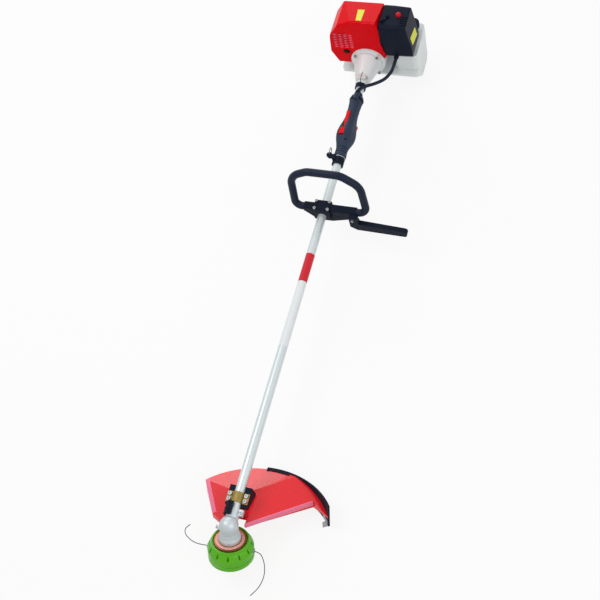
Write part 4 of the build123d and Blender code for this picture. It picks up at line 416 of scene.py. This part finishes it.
NODE_FINISHES: dict[Finish, tuple[str, ...]] = {
    RED: ("engine_cover",),
    GUARD_RED: ("debris_guard",),
    NAVY: ("ignition_coil", "filter_base", "filter_cover", "choke_lever", "fuel_cap",
           "starter_housing", "starter_pulley", "starter_grip", "conduit_clip", "harness_clamp",
           "loop_clamp_base", "loop_clamp_cap", "barrier_bar", "guard_skirt", "guard_saddle"),
    GRIP: ("handle_left", "handle_right"),
    RUBBER: ("tube_collar", "throttle_conduit", "loop_grip"),
    SILVER: ("drive_tube",),
    CAST: ("clutch_housing", "flywheel", "crankcase", "cylinder", "carburettor"),
    CASE: ("gear_case",),
    STEEL: ("drive_shaft", "clutch_drum", "crankshaft", "handle_screws", "harness_ring",
            "ball_bearings", "pinion_gear", "output_gear", "output_spindle", "line_eyelets",
            "line_cutter", "guard_bolts", "clamp_screws"),
    IRON: ("clutch_shoes",),
    TINTED: ("muffler",),
    CERAMIC: ("spark_plug",),
    FOAM: ("filter_element",),
    BULB: ("primer_bulb",),
    LEVER: ("throttle_trigger", "throttle_lockout", "stop_switch"),
    TANK: ("fuel_tank",),
    NYLON: ("shaft_bushes",),
    COPPER: ("spindle_flange",),
    GREEN: ("head_housing", "head_cover"),
    SPOOL: ("line_spool",),
    LINE: ("cutting_line_a", "cutting_line_b"),
    ZINC: ("guard_strap",),
}


def dress_nodes(nodes: dict[str, bpy.types.Object]) -> None:
    """Give every CAD node its finish.

    Args:
        nodes: The frame's nodes by name.
    """
    for finish, names in NODE_FINISHES.items():
        for name in names:
            mesh = nodes[name].data
            mesh.materials.clear()
            mesh.materials.append(finish.material())


def on_tool(points: np.ndarray) -> np.ndarray:
    """Turn (x, station, z) in millimetres, measured from the shaft, into the row frame in metres.

    Args:
        points: Array whose last axis holds x, station and z.

    Returns:
        The same points in the row frame.
    """
    return (np.asarray(points, float) + np.array([0.0, MOUTH_Y, SHAFT_HEIGHT])) * MM


def on_head(points: np.ndarray) -> np.ndarray:
    """Turn (x, back, up) in millimetres of the trimmer head into the row frame in metres.

    Args:
        points: Array whose last axis holds x, the way back and the way up the spindle.

    Returns:
        The same points in the row frame.
    """
    cos, sin = math.cos(SPINDLE_ANGLE), math.sin(SPINDLE_ANGLE)
    axes = np.array([[1.0, 0.0, 0.0], [0.0, sin, -cos], [0.0, cos, sin]])
    return on_tool(np.asarray(points, float) @ axes + np.array([0.0, GEAR_STATION, 0.0]))


def grid_piece(name: str, points: np.ndarray, finish: Finish, body: str, round_v: bool = False,
               smooth: bool = True, capped: bool = False) -> None:
    """Make a piece from one grid of points or more, dress it and let it ride on a body.

    The faces join each point of row i, column j to its neighbours in the next row and column.

    Args:
        name: Name of the piece.
        points: Array of rows by columns by 3 in the row frame in metres, with an axis before them
            for several grids.
        finish: Finish of the piece.
        body: Body that carries it.
        round_v: Whether the last column joins the first.
        smooth: Whether the faces are shaded smooth.
        capped: Whether one face closes the first row and one the last.
    """
    rows, columns = points.shape[-3:-1]
    index = np.arange(points.size // 3).reshape(-1, rows, columns)
    if round_v:
        index = np.concatenate([index, index[:, :, :1]], axis=2)
    near, far = index[:, :-1], index[:, 1:]
    corners = [near[..., :-1], near[..., 1:], far[..., 1:], far[..., :-1]]
    faces = np.stack(corners, axis=-1).reshape(-1, 4).tolist()
    if capped:
        faces += [index[0, 0, :columns].tolist()[::-1], index[0, -1, :columns].tolist()]
    mesh = bpy.data.meshes.new(name)
    mesh.from_pydata(points.reshape(-1, 3), [], faces)
    mesh.polygons.foreach_set("use_smooth", np.full(len(mesh.polygons), smooth))
    mesh.materials.append(finish.material())
    piece = bpy.data.objects.new(name, mesh)
    bpy.context.scene.collection.objects.link(piece)
    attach(piece, body)
    LOG.info("%s rides on %s", name, body)


def tucked(points: np.ndarray, sink: np.ndarray) -> np.ndarray:
    """Frame a grid with its own border sunk into what lies below, so that no edge hangs free.

    Args:
        points: Array of rows by columns by 3, in millimetres.
        sink: Step by which the new border lies lower, in millimetres.

    Returns:
        The grid with one more row and column on each side.
    """
    framed = np.pad(points, ((1, 1), (1, 1), (0, 0)), mode="edge")
    border = np.ones(framed.shape[:2], bool)
    border[1:-1, 1:-1] = False
    framed[border] += sink
    return framed


def turned(profile: np.ndarray, columns: int = 64) -> np.ndarray:
    """Turn a profile round the shaft: x is -r sin a, z is r cos a, and the station stays.

    A profile whose stations fall faces outwards.

    Args:
        profile: Array of (station, radius) in millimetres.
        columns: Points round the shaft.

    Returns:
        Array of profile points by columns by 3, in tool millimetres.
    """
    angle = np.linspace(0.0, 2.0 * np.pi, columns, endpoint=False)
    station, radius = profile[:, :1], profile[:, 1:]
    x, z = -radius * np.sin(angle), radius * np.cos(angle)
    return np.stack([x, station + 0.0 * angle, z], axis=-1)


@dataclass
class CuttingLines:
    """The two nylon lines that leave the trimmer head's eyelets.

    Attributes:
        diameter: Thickness of a line, in millimetres.
        order: Order of the NURBS curve.
        segments: Steps between two points of a route.
        roundness: Bevel resolution of the line's round section.
        routes: Points of each line in the head's (x, back, up), in millimetres.
        lengths: Length of each line outside the head, in metres; not used.
    """

    diameter: float = 2.4
    order: int = 3
    segments: int = 16
    roundness: int = 4
    routes: dict[str, Route] = field(default_factory=lambda: {
        "a": [(46.5, 6.5, -75), (75.3, 10.6, -75), (96, -15, -72), (108, -38, -68.5),
              (118, -66, -65), (122, -98, -60.5), (119, -126, -57.5), (111, -147, -55)],
        "b": [(-46.5, -6.5, -75), (-75.3, -10.6, -75), (-97, -11, -73.5), (-115, -5, -71.5),
              (-130, 4, -69), (-138, 16, -67), (-138, 28, -65.5), (-131, 38, -64.5)],
    })
    lengths: dict[str, float] = field(default_factory=lambda: {"a": 0.196, "b": 0.122})

    def build(self) -> None:
        """Lay both lines as NURBS cords over their CAD solids."""
        for side, route in self.routes.items():
            points = on_head(np.array(route))
            curve = bpy.data.curves.new(f"nylon_line_{side}", "CURVE")
            curve.dimensions = "3D"
            curve.bevel_depth = self.diameter / 2 * MM
            curve.bevel_resolution = self.roundness
            curve.resolution_u = self.segments
            curve.use_fill_caps = True
            spline = curve.splines.new("NURBS")
            spline.points.add(len(points) - 1)
            weighted = np.column_stack([points, np.ones(len(points))])
            spline.points.foreach_set("co", weighted.ravel())
            spline.order_u = self.order
            spline.use_endpoint_u = True
            curve.materials.append(LINE.material())
            piece = bpy.data.objects.new(f"nylon_line_{side}", curve)
            bpy.context.scene.collection.objects.link(piece)
            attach(piece, "cutting_head")
            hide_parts(f"cutting_line_{side}")
            LOG.info("%s laid", piece.name)


@dataclass
class BlankLabels:
    """Blank stickers in the places where such a tool carries its notices.

    Attributes:
        thickness: How far a label stands off its seat, in millimetres like every length below.
        steps: Rows and columns of a label's grid.
        hood_stations: Where the hood's label starts and ends.
        hood_left: x of its left edge at these stations.
        hood_right: x of its right edge at these stations.
        hood_front: Station and height of the front of the hood's top.
        hood_slope: Length of the hood's top, and its fall over that length.
        filter_stations: Where the filter cover's label starts and ends.
        filter_heights: Heights of its lower and upper edge.
        filter_lean: How much lower the label ends than it starts.
        filter_top: Height and x of the upper edge of the cover's slanted side.
        filter_slope: Height of that side, and how far x grows down it.
    """

    thickness: float = 0.4
    steps: int = 28
    hood_stations: Pair = (112.0, 167.0)
    hood_left: Pair = (-22.0, -29.0)
    hood_right: Pair = (-5.0, -7.0)
    hood_front: Pair = (101.0, 172.0)
    hood_slope: Pair = (106.0, 22.0)
    filter_stations: Pair = (127.0, 181.0)
    filter_heights: Pair = (60.0, 92.0)
    filter_lean: float = 9.0
    filter_top: Pair = (155.0, 130.0)
    filter_slope: Pair = (112.0, 17.0)

    def build(self) -> None:
        """Stick both labels on."""
        self._hood()
        self._filter()

    def _hood(self) -> None:
        """Lay the hood's label on its top: the height falls evenly along the stations."""
        station, share = np.meshgrid(np.linspace(*self.hood_stations, self.steps),
                                     np.linspace(0.0, 1.0, self.steps), indexing="ij")
        left = np.interp(station, self.hood_stations, self.hood_left)
        right = np.interp(station, self.hood_stations, self.hood_right)
        (start, height), (length, fall) = self.hood_front, self.hood_slope
        top = height - fall * (station - start) / length
        sheet = np.stack([left + share * (right - left), station, top + self.thickness], axis=-1)
        sheet = tucked(sheet, np.array([0.0, 0.0, -2.0 * self.thickness]))
        grid_piece("hood_label", on_tool(sheet), YELLOW, "frame")

    def _filter(self) -> None:
        """Lay the filter cover's label on its slanted side: x grows evenly down the side."""
        station, height = np.meshgrid(np.linspace(*self.filter_stations, self.steps),
                                      np.linspace(*self.filter_heights, self.steps), indexing="ij")
        first, last = self.filter_stations
        height = height - self.filter_lean * (station - first) / (last - first)
        (top, top_x), (fall, growth) = self.filter_top, self.filter_slope
        x = top_x + growth * (top - height) / fall + self.thickness
        sheet = np.stack([x, station, height], axis=-1)
        sheet = tucked(sheet, np.array([-2.0 * self.thickness, 0.0, 0.0]))
        grid_piece("filter_label", on_tool(sheet[::-1]), YELLOW, "frame")


@dataclass(frozen=True)
class Ring:
    """A ring on a round seat along the shaft.

    Attributes:
        name: Name of the piece.
        stations: Where the ring starts and ends, in millimetres.
        seat_r: Radius of its seat, in millimetres.
        proud: How far it stands off its seat, in millimetres.
        finish: Finish of the piece.
        steps: Points of a quarter turn.
    """

    name: str
    stations: Pair
    seat_r: float
    proud: float
    finish: Finish
    steps: int = 7

    def surface(self) -> np.ndarray:
        """Raise straight ends, and join them to the outside by quarter turns.

        A quarter turn's radius is the ring's height or half its width, whichever is less.

        Returns:
            The ring's grid in tool millimetres.
        """
        start, end = self.stations
        bevel = min(self.proud, 0.5 * abs(end - start)) * np.sign(end - start)
        turn = np.linspace(0.0, np.pi / 2, self.steps)
        radius = self.seat_r + self.proud - abs(bevel) * (1.0 - np.sin(turn))
        along = bevel * (1.0 - np.cos(turn))
        rise = np.column_stack([start + along, radius])
        fall = np.column_stack([end - along, radius])
        feet = np.array([[start, self.seat_r], [end, self.seat_r]])
        return turned(np.concatenate([feet[:1], rise, fall[::-1], feet[1:]]))


@dataclass
class TubeWraps:
    """Blank sleeves round the drive tube, a steel ring by the harness clamp that stands in for a
    thin highlight line, and the grip's cuff.

    Attributes:
        rings: The sleeves, the highlight ring and the cuff.
    """

    rings: tuple[Ring, ...] = (
        Ring("red_sleeve", (-627.0, -719.0), TUBE_R, 0.25, RED_LABEL),
        Ring("pale_sleeve", (-721.0, -926.0), TUBE_R, 0.2, PALE_LABEL),
        # A steel ring put where only a thin bright highlight line shows beside the harness clamp:
        # it stands in for that highlight.
        Ring("highlight_ring", (-281.2, -284.8), TUBE_R, 5.2, STEEL),
        Ring("grip_cuff", (-56.0, -67.0), GRIP_R, 4.2, NAVY),
    )

    def build(self) -> None:
        """Wrap the sleeves and slip the highlight ring and cuff on."""
        for ring in self.rings:
            grid_piece(ring.name, on_tool(ring.surface()), ring.finish, "frame", round_v=True)


@dataclass
class LoopYoke:
    """Web below the loop handle's bar: it falls from both ends to a chin under the clamp.

    Attributes:
        stations: Where the web starts and ends, in millimetres.
        edge: Width of its chamfers, in millimetres.
        outline: Its (x, z) outline, convex and counter-clockwise, in millimetres.
    """

    stations: Pair = (-464.0, -484.0)
    edge: float = 2.5
    outline: Pairs = (
        (-55, 0), (-20, -36), (26, -36), (90, -13), (103, 0), (103, 9), (-55, 9))

    def build(self) -> None:
        """Carry the outline along the stations, drawn in at both ends to chamfer its edges.

        A corner moves by the sum of the inward normals of its two sides, over one plus the cosine
        between the sides, times the inset, so that both sides move in by the inset.
        """
        ring = np.array(self.outline, float)
        before, after = ring - np.roll(ring, 1, axis=0), np.roll(ring, -1, axis=0) - ring
        before, after = (side / np.linalg.norm(side, axis=1, keepdims=True)
                         for side in (before, after))
        normal = np.stack([-before[:, 1] - after[:, 1], before[:, 0] + after[:, 0]], axis=1)
        normal /= 1.0 + np.sum(before * after, axis=1, keepdims=True)
        first, last = self.stations
        step = self.edge * np.sign(last - first)
        insets = [(first, self.edge), (first + step, 0.0), (last - step, 0.0), (last, self.edge)]
        rows = [np.insert(ring + inset * normal, 1, station, axis=1) for station, inset in insets]
        grid_piece("loop_yoke", on_tool(np.stack(rows)), NAVY, "frame", round_v=True, smooth=False,
                   capped=True)


@dataclass
class GuardSheenLips:
    """Lips of painted sheen along the guard's two open edges, on the panels' borders and the walls
    below: their pale pink stands for light caught on those edges.

    Attributes:
        stand: How far a lip stands off the guard, in millimetres like every length below.
        depth: How far it reaches down the wall.
        left_border: Width of the left lip on its panel.
        right_border: Width of the right lip on its panel.
        steps: Points along a lip.
        columns: Points across a lip.
        left_edge: Ends of the left edge in the head's (x, back) plane.
        left_panel: Three points of the panel at the left edge in the head's (x, back, up).
        right_edge: Ends of the right edge.
        right_panel: Three points of the panel at the right edge.
    """

    stand: float = 0.5
    depth: float = 13.0
    left_border: float = 10.0
    right_border: float = 3.0
    steps: int = 40
    columns: int = 15
    left_edge: Pairs = ((-121.0, 135.0), (-63.6, 42.0))
    left_panel: Points = ((-123, 137, 12), (-28, 20, -10), (-41, 121, 12))
    right_edge: Pairs = ((31.0, 30.9), (174.0, 160.1))
    right_panel: Points = ((4, 123, 12), (30, 30, -10), (96, 206, 12))

    def build(self) -> None:
        """Lay both lips."""
        self._lip("guard_sheen_lip_left", self.left_edge, self.left_panel, self.left_border)
        self._lip("guard_sheen_lip_right", self.right_edge, self.right_panel, self.right_border)

    def _lip(self, name: str, edge: Pairs, panel: Points, border: float) -> None:
        """Fold a band over an edge: along the panel to the edge, then down the wall by the depth.

        Both flats stand off by a half sine wave, so that the band's borders and its fold lie on
        the guard.

        Args:
            name: Name of the piece.
            edge: Ends of the edge in the head's (x, back) plane.
            panel: Three points of the panel whose edge it is.
            border: Width of the band on the panel.
        """
        corners = np.array(panel, float)
        plane = np.linalg.solve(np.column_stack([corners[:, :2], np.ones(3)]), corners[:, 2])
        start, end = np.array(edge, float)
        run = (end - start) / np.linalg.norm(end - start)
        out = np.array([run[1], -run[0]])
        out *= -np.sign(out[1])
        share, fold = np.meshgrid(np.linspace(0.0, 1.0, self.steps),
                                  np.linspace(-1.0, 1.0, self.columns), indexing="ij")
        inward, drop = np.maximum(-fold, 0.0), np.maximum(fold, 0.0)
        away = self.stand * np.sin(np.pi * drop) - border * inward
        spot = start + share[..., None] * (end - start) + away[..., None] * out
        lift = self.stand * np.sin(np.pi * inward) - self.depth * drop
        height = spot @ plane[:2] + plane[2] + lift
        sheet = np.concatenate([spot, height[..., None]], axis=-1)
        grid_piece(name, on_head(sheet), PAINTED_SHEEN_RED, "frame")


@dataclass
class FlangePlate:
    """Serrated ring pressed on the copper flange, round the gear case's foot. Its pale pink is a
    painted reflection of the shiny plate.

    Attributes:
        inner: Inner radius, in millimetres.
        outer: Outer radius, in millimetres.
        level: Height of the flange's face up the spindle, in millimetres.
        sink: How far the ring's borders lie below that face, in millimetres.
        valley_rise: Rise between the teeth, in millimetres.
        tooth_rise: Rise of a tooth over the valleys, in millimetres.
        teeth: Teeth round the ring.
        rows: Points across the ring.
        columns: Points round it.
    """

    inner: float = 29.5
    outer: float = 38.6
    level: float = -39.5
    sink: float = 0.1
    valley_rise: float = 0.3
    tooth_rise: float = 0.7
    teeth: int = 48
    rows: int = 9
    columns: int = 480

    def build(self) -> None:
        """Raise the ring by a triangle wave round the spindle, highest at its middle radius.

        Across the ring the rise follows the square root of a half sine wave.
        """
        share, angle = np.meshgrid(
            np.linspace(0.0, 1.0, self.rows),
            np.linspace(0.0, 2.0 * np.pi, self.columns, endpoint=False), indexing="ij")
        wave = 2.0 * np.abs(self.teeth * angle / (2.0 * np.pi) % 1.0 - 0.5)
        radius = self.inner + share * (self.outer - self.inner)
        rise = np.sin(np.pi * share) ** 0.5 * (self.valley_rise + self.tooth_rise * wave)
        height = self.level - self.sink + rise
        ring = np.stack([radius * np.cos(angle), -radius * np.sin(angle), height], axis=-1)
        grid_piece("serrated_ring", on_head(ring), PAINTED_REFLECTION_COPPER, "cutting_head", round_v=True,
                   smooth=False)


@dataclass
class GrilleHighlightLips:
    """Lips of painted highlight between the slots of the hood's front, and the ribs that carry
    their pattern on: their pale pink stands for light caught on the slots' edges.

    Attributes:
        front: Station of the hood's front, in millimetres.
        inset: How far a lip's axis lies behind the front, in millimetres.
        middle: x and height of the pattern's middle, in millimetres.
        pitch: Steps across and up from lip to lip, in millimetres.
        count: Lips across and up.
        length: Length of a lip, in millimetres.
        radius: Radius of its half round, in millimetres.
        bluntness: Power that says how late a lip thins towards its ends.
        overturn: How far the round runs past a half turn at each side, in half turns.
        rows: Points along a lip.
        columns: Points round it.
    """

    front: float = 102.0
    inset: float = 0.5
    middle: Pair = (-71.5, 88.0)
    pitch: Pair = (17.0, 8.0)
    count: tuple[int, int] = (4, 8)
    length: float = 12.0
    radius: float = 1.1
    bluntness: int = 6
    overturn: float = 0.15
    rows: int = 13
    columns: int = 11

    def build(self) -> None:
        """Carry a half round along each lip, drawn in to a point at its ends.

        With places along it from -1 to 1, the radius is multiplied by the square root of one minus
        the place to the power of the bluntness. The pattern lies half a pitch lower than its
        middle, so that the lips fall between the slots.
        """
        share = np.linspace(-1.0, 1.0, self.rows)[:, None]
        angle = np.linspace(-self.overturn * np.pi, (1.0 + self.overturn) * np.pi, self.columns)
        thick = self.radius * np.sqrt(1.0 - share ** self.bluntness)
        along = 0.5 * self.length * share + 0.0 * angle
        depth = self.front + self.inset - thick * np.sin(angle)
        bar = np.stack([along, depth, thick * np.cos(angle)], axis=-1)
        across, up = np.meshgrid(self._places(0), self._places(1) - 0.5 * self.pitch[1])
        places = np.stack([across.ravel(), np.zeros(across.size), up.ravel()], axis=-1)
        grid_piece("grille_highlight_lips", on_tool(bar + places[:, None, None]), PAINTED_SHEEN_RED, "frame")

    def _places(self, axis: int) -> np.ndarray:
        """Even places about the pattern's middle.

        Args:
            axis: 0 across the front, 1 up it.

        Returns:
            The places along that axis, in millimetres.
        """
        steps = np.arange(self.count[axis]) - 0.5 * (self.count[axis] - 1)
        return self.pitch[axis] * steps + self.middle[axis]


@dataclass
class ExhaustTrim:
    """Raised rim round the hood's exhaust hole, and the shroud that closes the hole round the pipe.

    Attributes:
        axis: x and height of the exhaust's axis, in millimetres.
        rim: The rim's profile as station and radius, in millimetres.
        shroud: The shroud's profile as station and radius, in millimetres.
    """

    axis: Pair = (-67.0, 37.0)
    rim: Pairs = (
        (102.4, 16.6), (101.2, 16.0), (100.3, 14.8), (100.0, 13.4), (100.4, 12.3), (104.0, 11.9))
    shroud: Pairs = ((104.3, 12.6), (110.0, 12.2), (113.0, 11.0), (115.0, 8.2))

    def build(self) -> None:
        """Turn both profiles round the exhaust's axis."""
        place = np.array([self.axis[0], 0.0, self.axis[1]])
        rim, shroud = (turned(np.array(profile)) + place for profile in (self.rim, self.shroud))
        grid_piece("exhaust_rim", on_tool(rim), RED, "frame", round_v=True)
        grid_piece("exhaust_shroud", on_tool(shroud), TINTED, "frame", round_v=True)


@dataclass(frozen=True)
class Lamp:
    """A square soft lamp.

    Attributes:
        name: Name of the lamp.
        eye: Where it hangs, in metres.
        target: Point that it faces, in metres.
        size: Side of its square, in metres.
        power: Power in watts.
    """

    name: str
    eye: Point
    target: Point
    size: float
    power: float

    def hang(self) -> None:
        """Hang the lamp in the scene, facing its target."""
        light = bpy.data.lights.new(self.name, "AREA")
        light.size = self.size
        light.energy = self.power
        lamp = bpy.data.objects.new(self.name, light)
        lamp.location = self.eye
        facing = Vector(self.target) - Vector(self.eye)
        lamp.rotation_euler = facing.to_track_quat("-Z", "Y").to_euler()
        bpy.context.scene.collection.objects.link(lamp)


@dataclass
class Studio:
    """Pale floor, soft light and the camera at the photograph's angle.

    Attributes:
        eye: Where the camera stands, in metres.
        back: Way from what it looks at to the camera.
        up: Way that is up in the picture.
        lens: Focal length, in millimetres.
        sensor: Width of the sensor, in millimetres.
        reach: How far the camera sees, in metres.
        floor_size: Side of the floor, in metres.
        floor_grey: Level of the floor's own grey.
        floor_rough: Roughness of the floor.
        floor_glow: Share of plain white in the floor, where a ray shows it.
        sky: Strength of the sky as a light, and as it is shown.
        lamps: The lamps.
    """

    eye: Point = (0.807, -2.161, 2.601)
    back: Point = (0.281, -0.413, 0.866)
    up: Point = (-0.149, 0.873, 0.465)
    lens: float = 60.0
    sensor: float = 36.0
    reach: float = 60.0
    floor_size: float = 30.0
    floor_grey: float = 0.86
    floor_rough: float = 0.9
    floor_glow: float = 0.86
    sky: Pair = (0.5, 1.0)
    lamps: tuple[Lamp, ...] = (
        Lamp("key_light", (-1.6, -1.0, 3.4), (0.0, -0.8, 0.1), 1.8, 38.0),
        Lamp("fill_light", (2.6, -2.2, 2.4), (0.0, -0.9, 0.1), 2.4, 30.0),
        Lamp("rear_light", (-1.2, 2.2, 1.5), (0.0, -1.0, 0.1), 2.0, 30.0),
    )

    def build(self) -> None:
        """Set the stage, the world, the lamps and the camera."""
        self._floor()
        self._world()
        for lamp in self.lamps:
            lamp.hang()
        self._camera()

    @staticmethod
    def _seen(tree: bpy.types.NodeTree) -> bpy.types.NodeSocket:
        """Tell the rays that show the plain white: camera, glossy and transmission rays.

        Args:
            tree: Node tree that gets the nodes.

        Returns:
            One on such a ray, and nought on any other.
        """
        path = tree.nodes.new("ShaderNodeLightPath").outputs
        first = add_node(tree, "ShaderNodeMath", {
            0: path["Is Camera Ray"], 1: path["Is Glossy Ray"]}, operation="MAXIMUM")
        both = add_node(tree, "ShaderNodeMath", {
            0: first.outputs[0], 1: path["Is Transmission Ray"]}, operation="MAXIMUM")
        return both.outputs[0]

    def _floor(self) -> None:
        """Lay a pale floor that shows white but keeps a soft shadow."""
        half = self.floor_size / 2
        corners = [(-half, -half, 0.0), (half, -half, 0.0), (half, half, 0.0), (-half, half, 0.0)]
        mesh = bpy.data.meshes.new("floor")
        mesh.from_pydata(corners, [], [(0, 1, 2, 3)])
        made = bpy.data.materials.new("pale_floor")
        made.use_nodes = True
        tree = made.node_tree
        shader = tree.nodes["Principled BSDF"]
        feed(tree, shader, {
            "Base Color": (self.floor_grey, self.floor_grey, self.floor_grey, 1.0),
            "Roughness": self.floor_rough})
        glow = tree.nodes.new("ShaderNodeEmission")
        share = add_node(tree, "ShaderNodeMath", {
            0: self._seen(tree), 1: self.floor_glow}, operation="MULTIPLY")
        mix = add_node(tree, "ShaderNodeMixShader", {
            "Fac": share.outputs[0], 1: shader.outputs["BSDF"], 2: glow.outputs["Emission"]})
        feed(tree, tree.nodes["Material Output"], {"Surface": mix.outputs["Shader"]})
        mesh.materials.append(made)
        floor = bpy.data.objects.new("floor", mesh)
        bpy.context.scene.collection.objects.link(floor)

    def _world(self) -> None:
        """Light the scene with an even pale sky that shows as white."""
        world = bpy.data.worlds.new("pale_sky")
        bpy.context.scene.world = world
        world.use_nodes = True
        tree = world.node_tree
        strength = add_node(tree, "ShaderNodeMapRange", {
            "To Min": self.sky[0], "To Max": self.sky[1], "Value": self._seen(tree)})
        feed(tree, tree.nodes["Background"], {
            "Color": (1.0, 1.0, 1.0, 1.0), "Strength": strength.outputs["Result"]})

    def _camera(self) -> None:
        """Stand the camera where the photograph was taken from."""
        back = Vector(self.back).normalized()
        side = Vector(self.up).cross(back).normalized()
        up = back.cross(side)
        turn = Matrix((side, up, back)).transposed().to_4x4()
        lens = bpy.data.cameras.new("camera")
        lens.lens = self.lens
        lens.sensor_width = self.sensor
        lens.clip_end = self.reach
        camera = bpy.data.objects.new("camera", lens)
        camera.matrix_world = Matrix.Translation(self.eye) @ turn
        bpy.context.scene.collection.objects.link(camera)
        bpy.context.scene.camera = camera


def main() -> None:
    """Load the frame, dress it, add the fittings, and set the stage."""
    logging.basicConfig(level=logging.INFO, format="%(name)s: %(message)s")
    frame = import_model()
    bpy.context.scene.view_settings.view_transform = "Standard"
    dress_nodes(frame["nodes"])
    for assembly in (CuttingLines(), BlankLabels(), TubeWraps(), LoopYoke(), GuardSheenLips(),
                     FlangePlate(), GrilleHighlightLips(), ExhaustTrim(), Studio()):
        assembly.build()


if __name__ == "__main__":
    main()
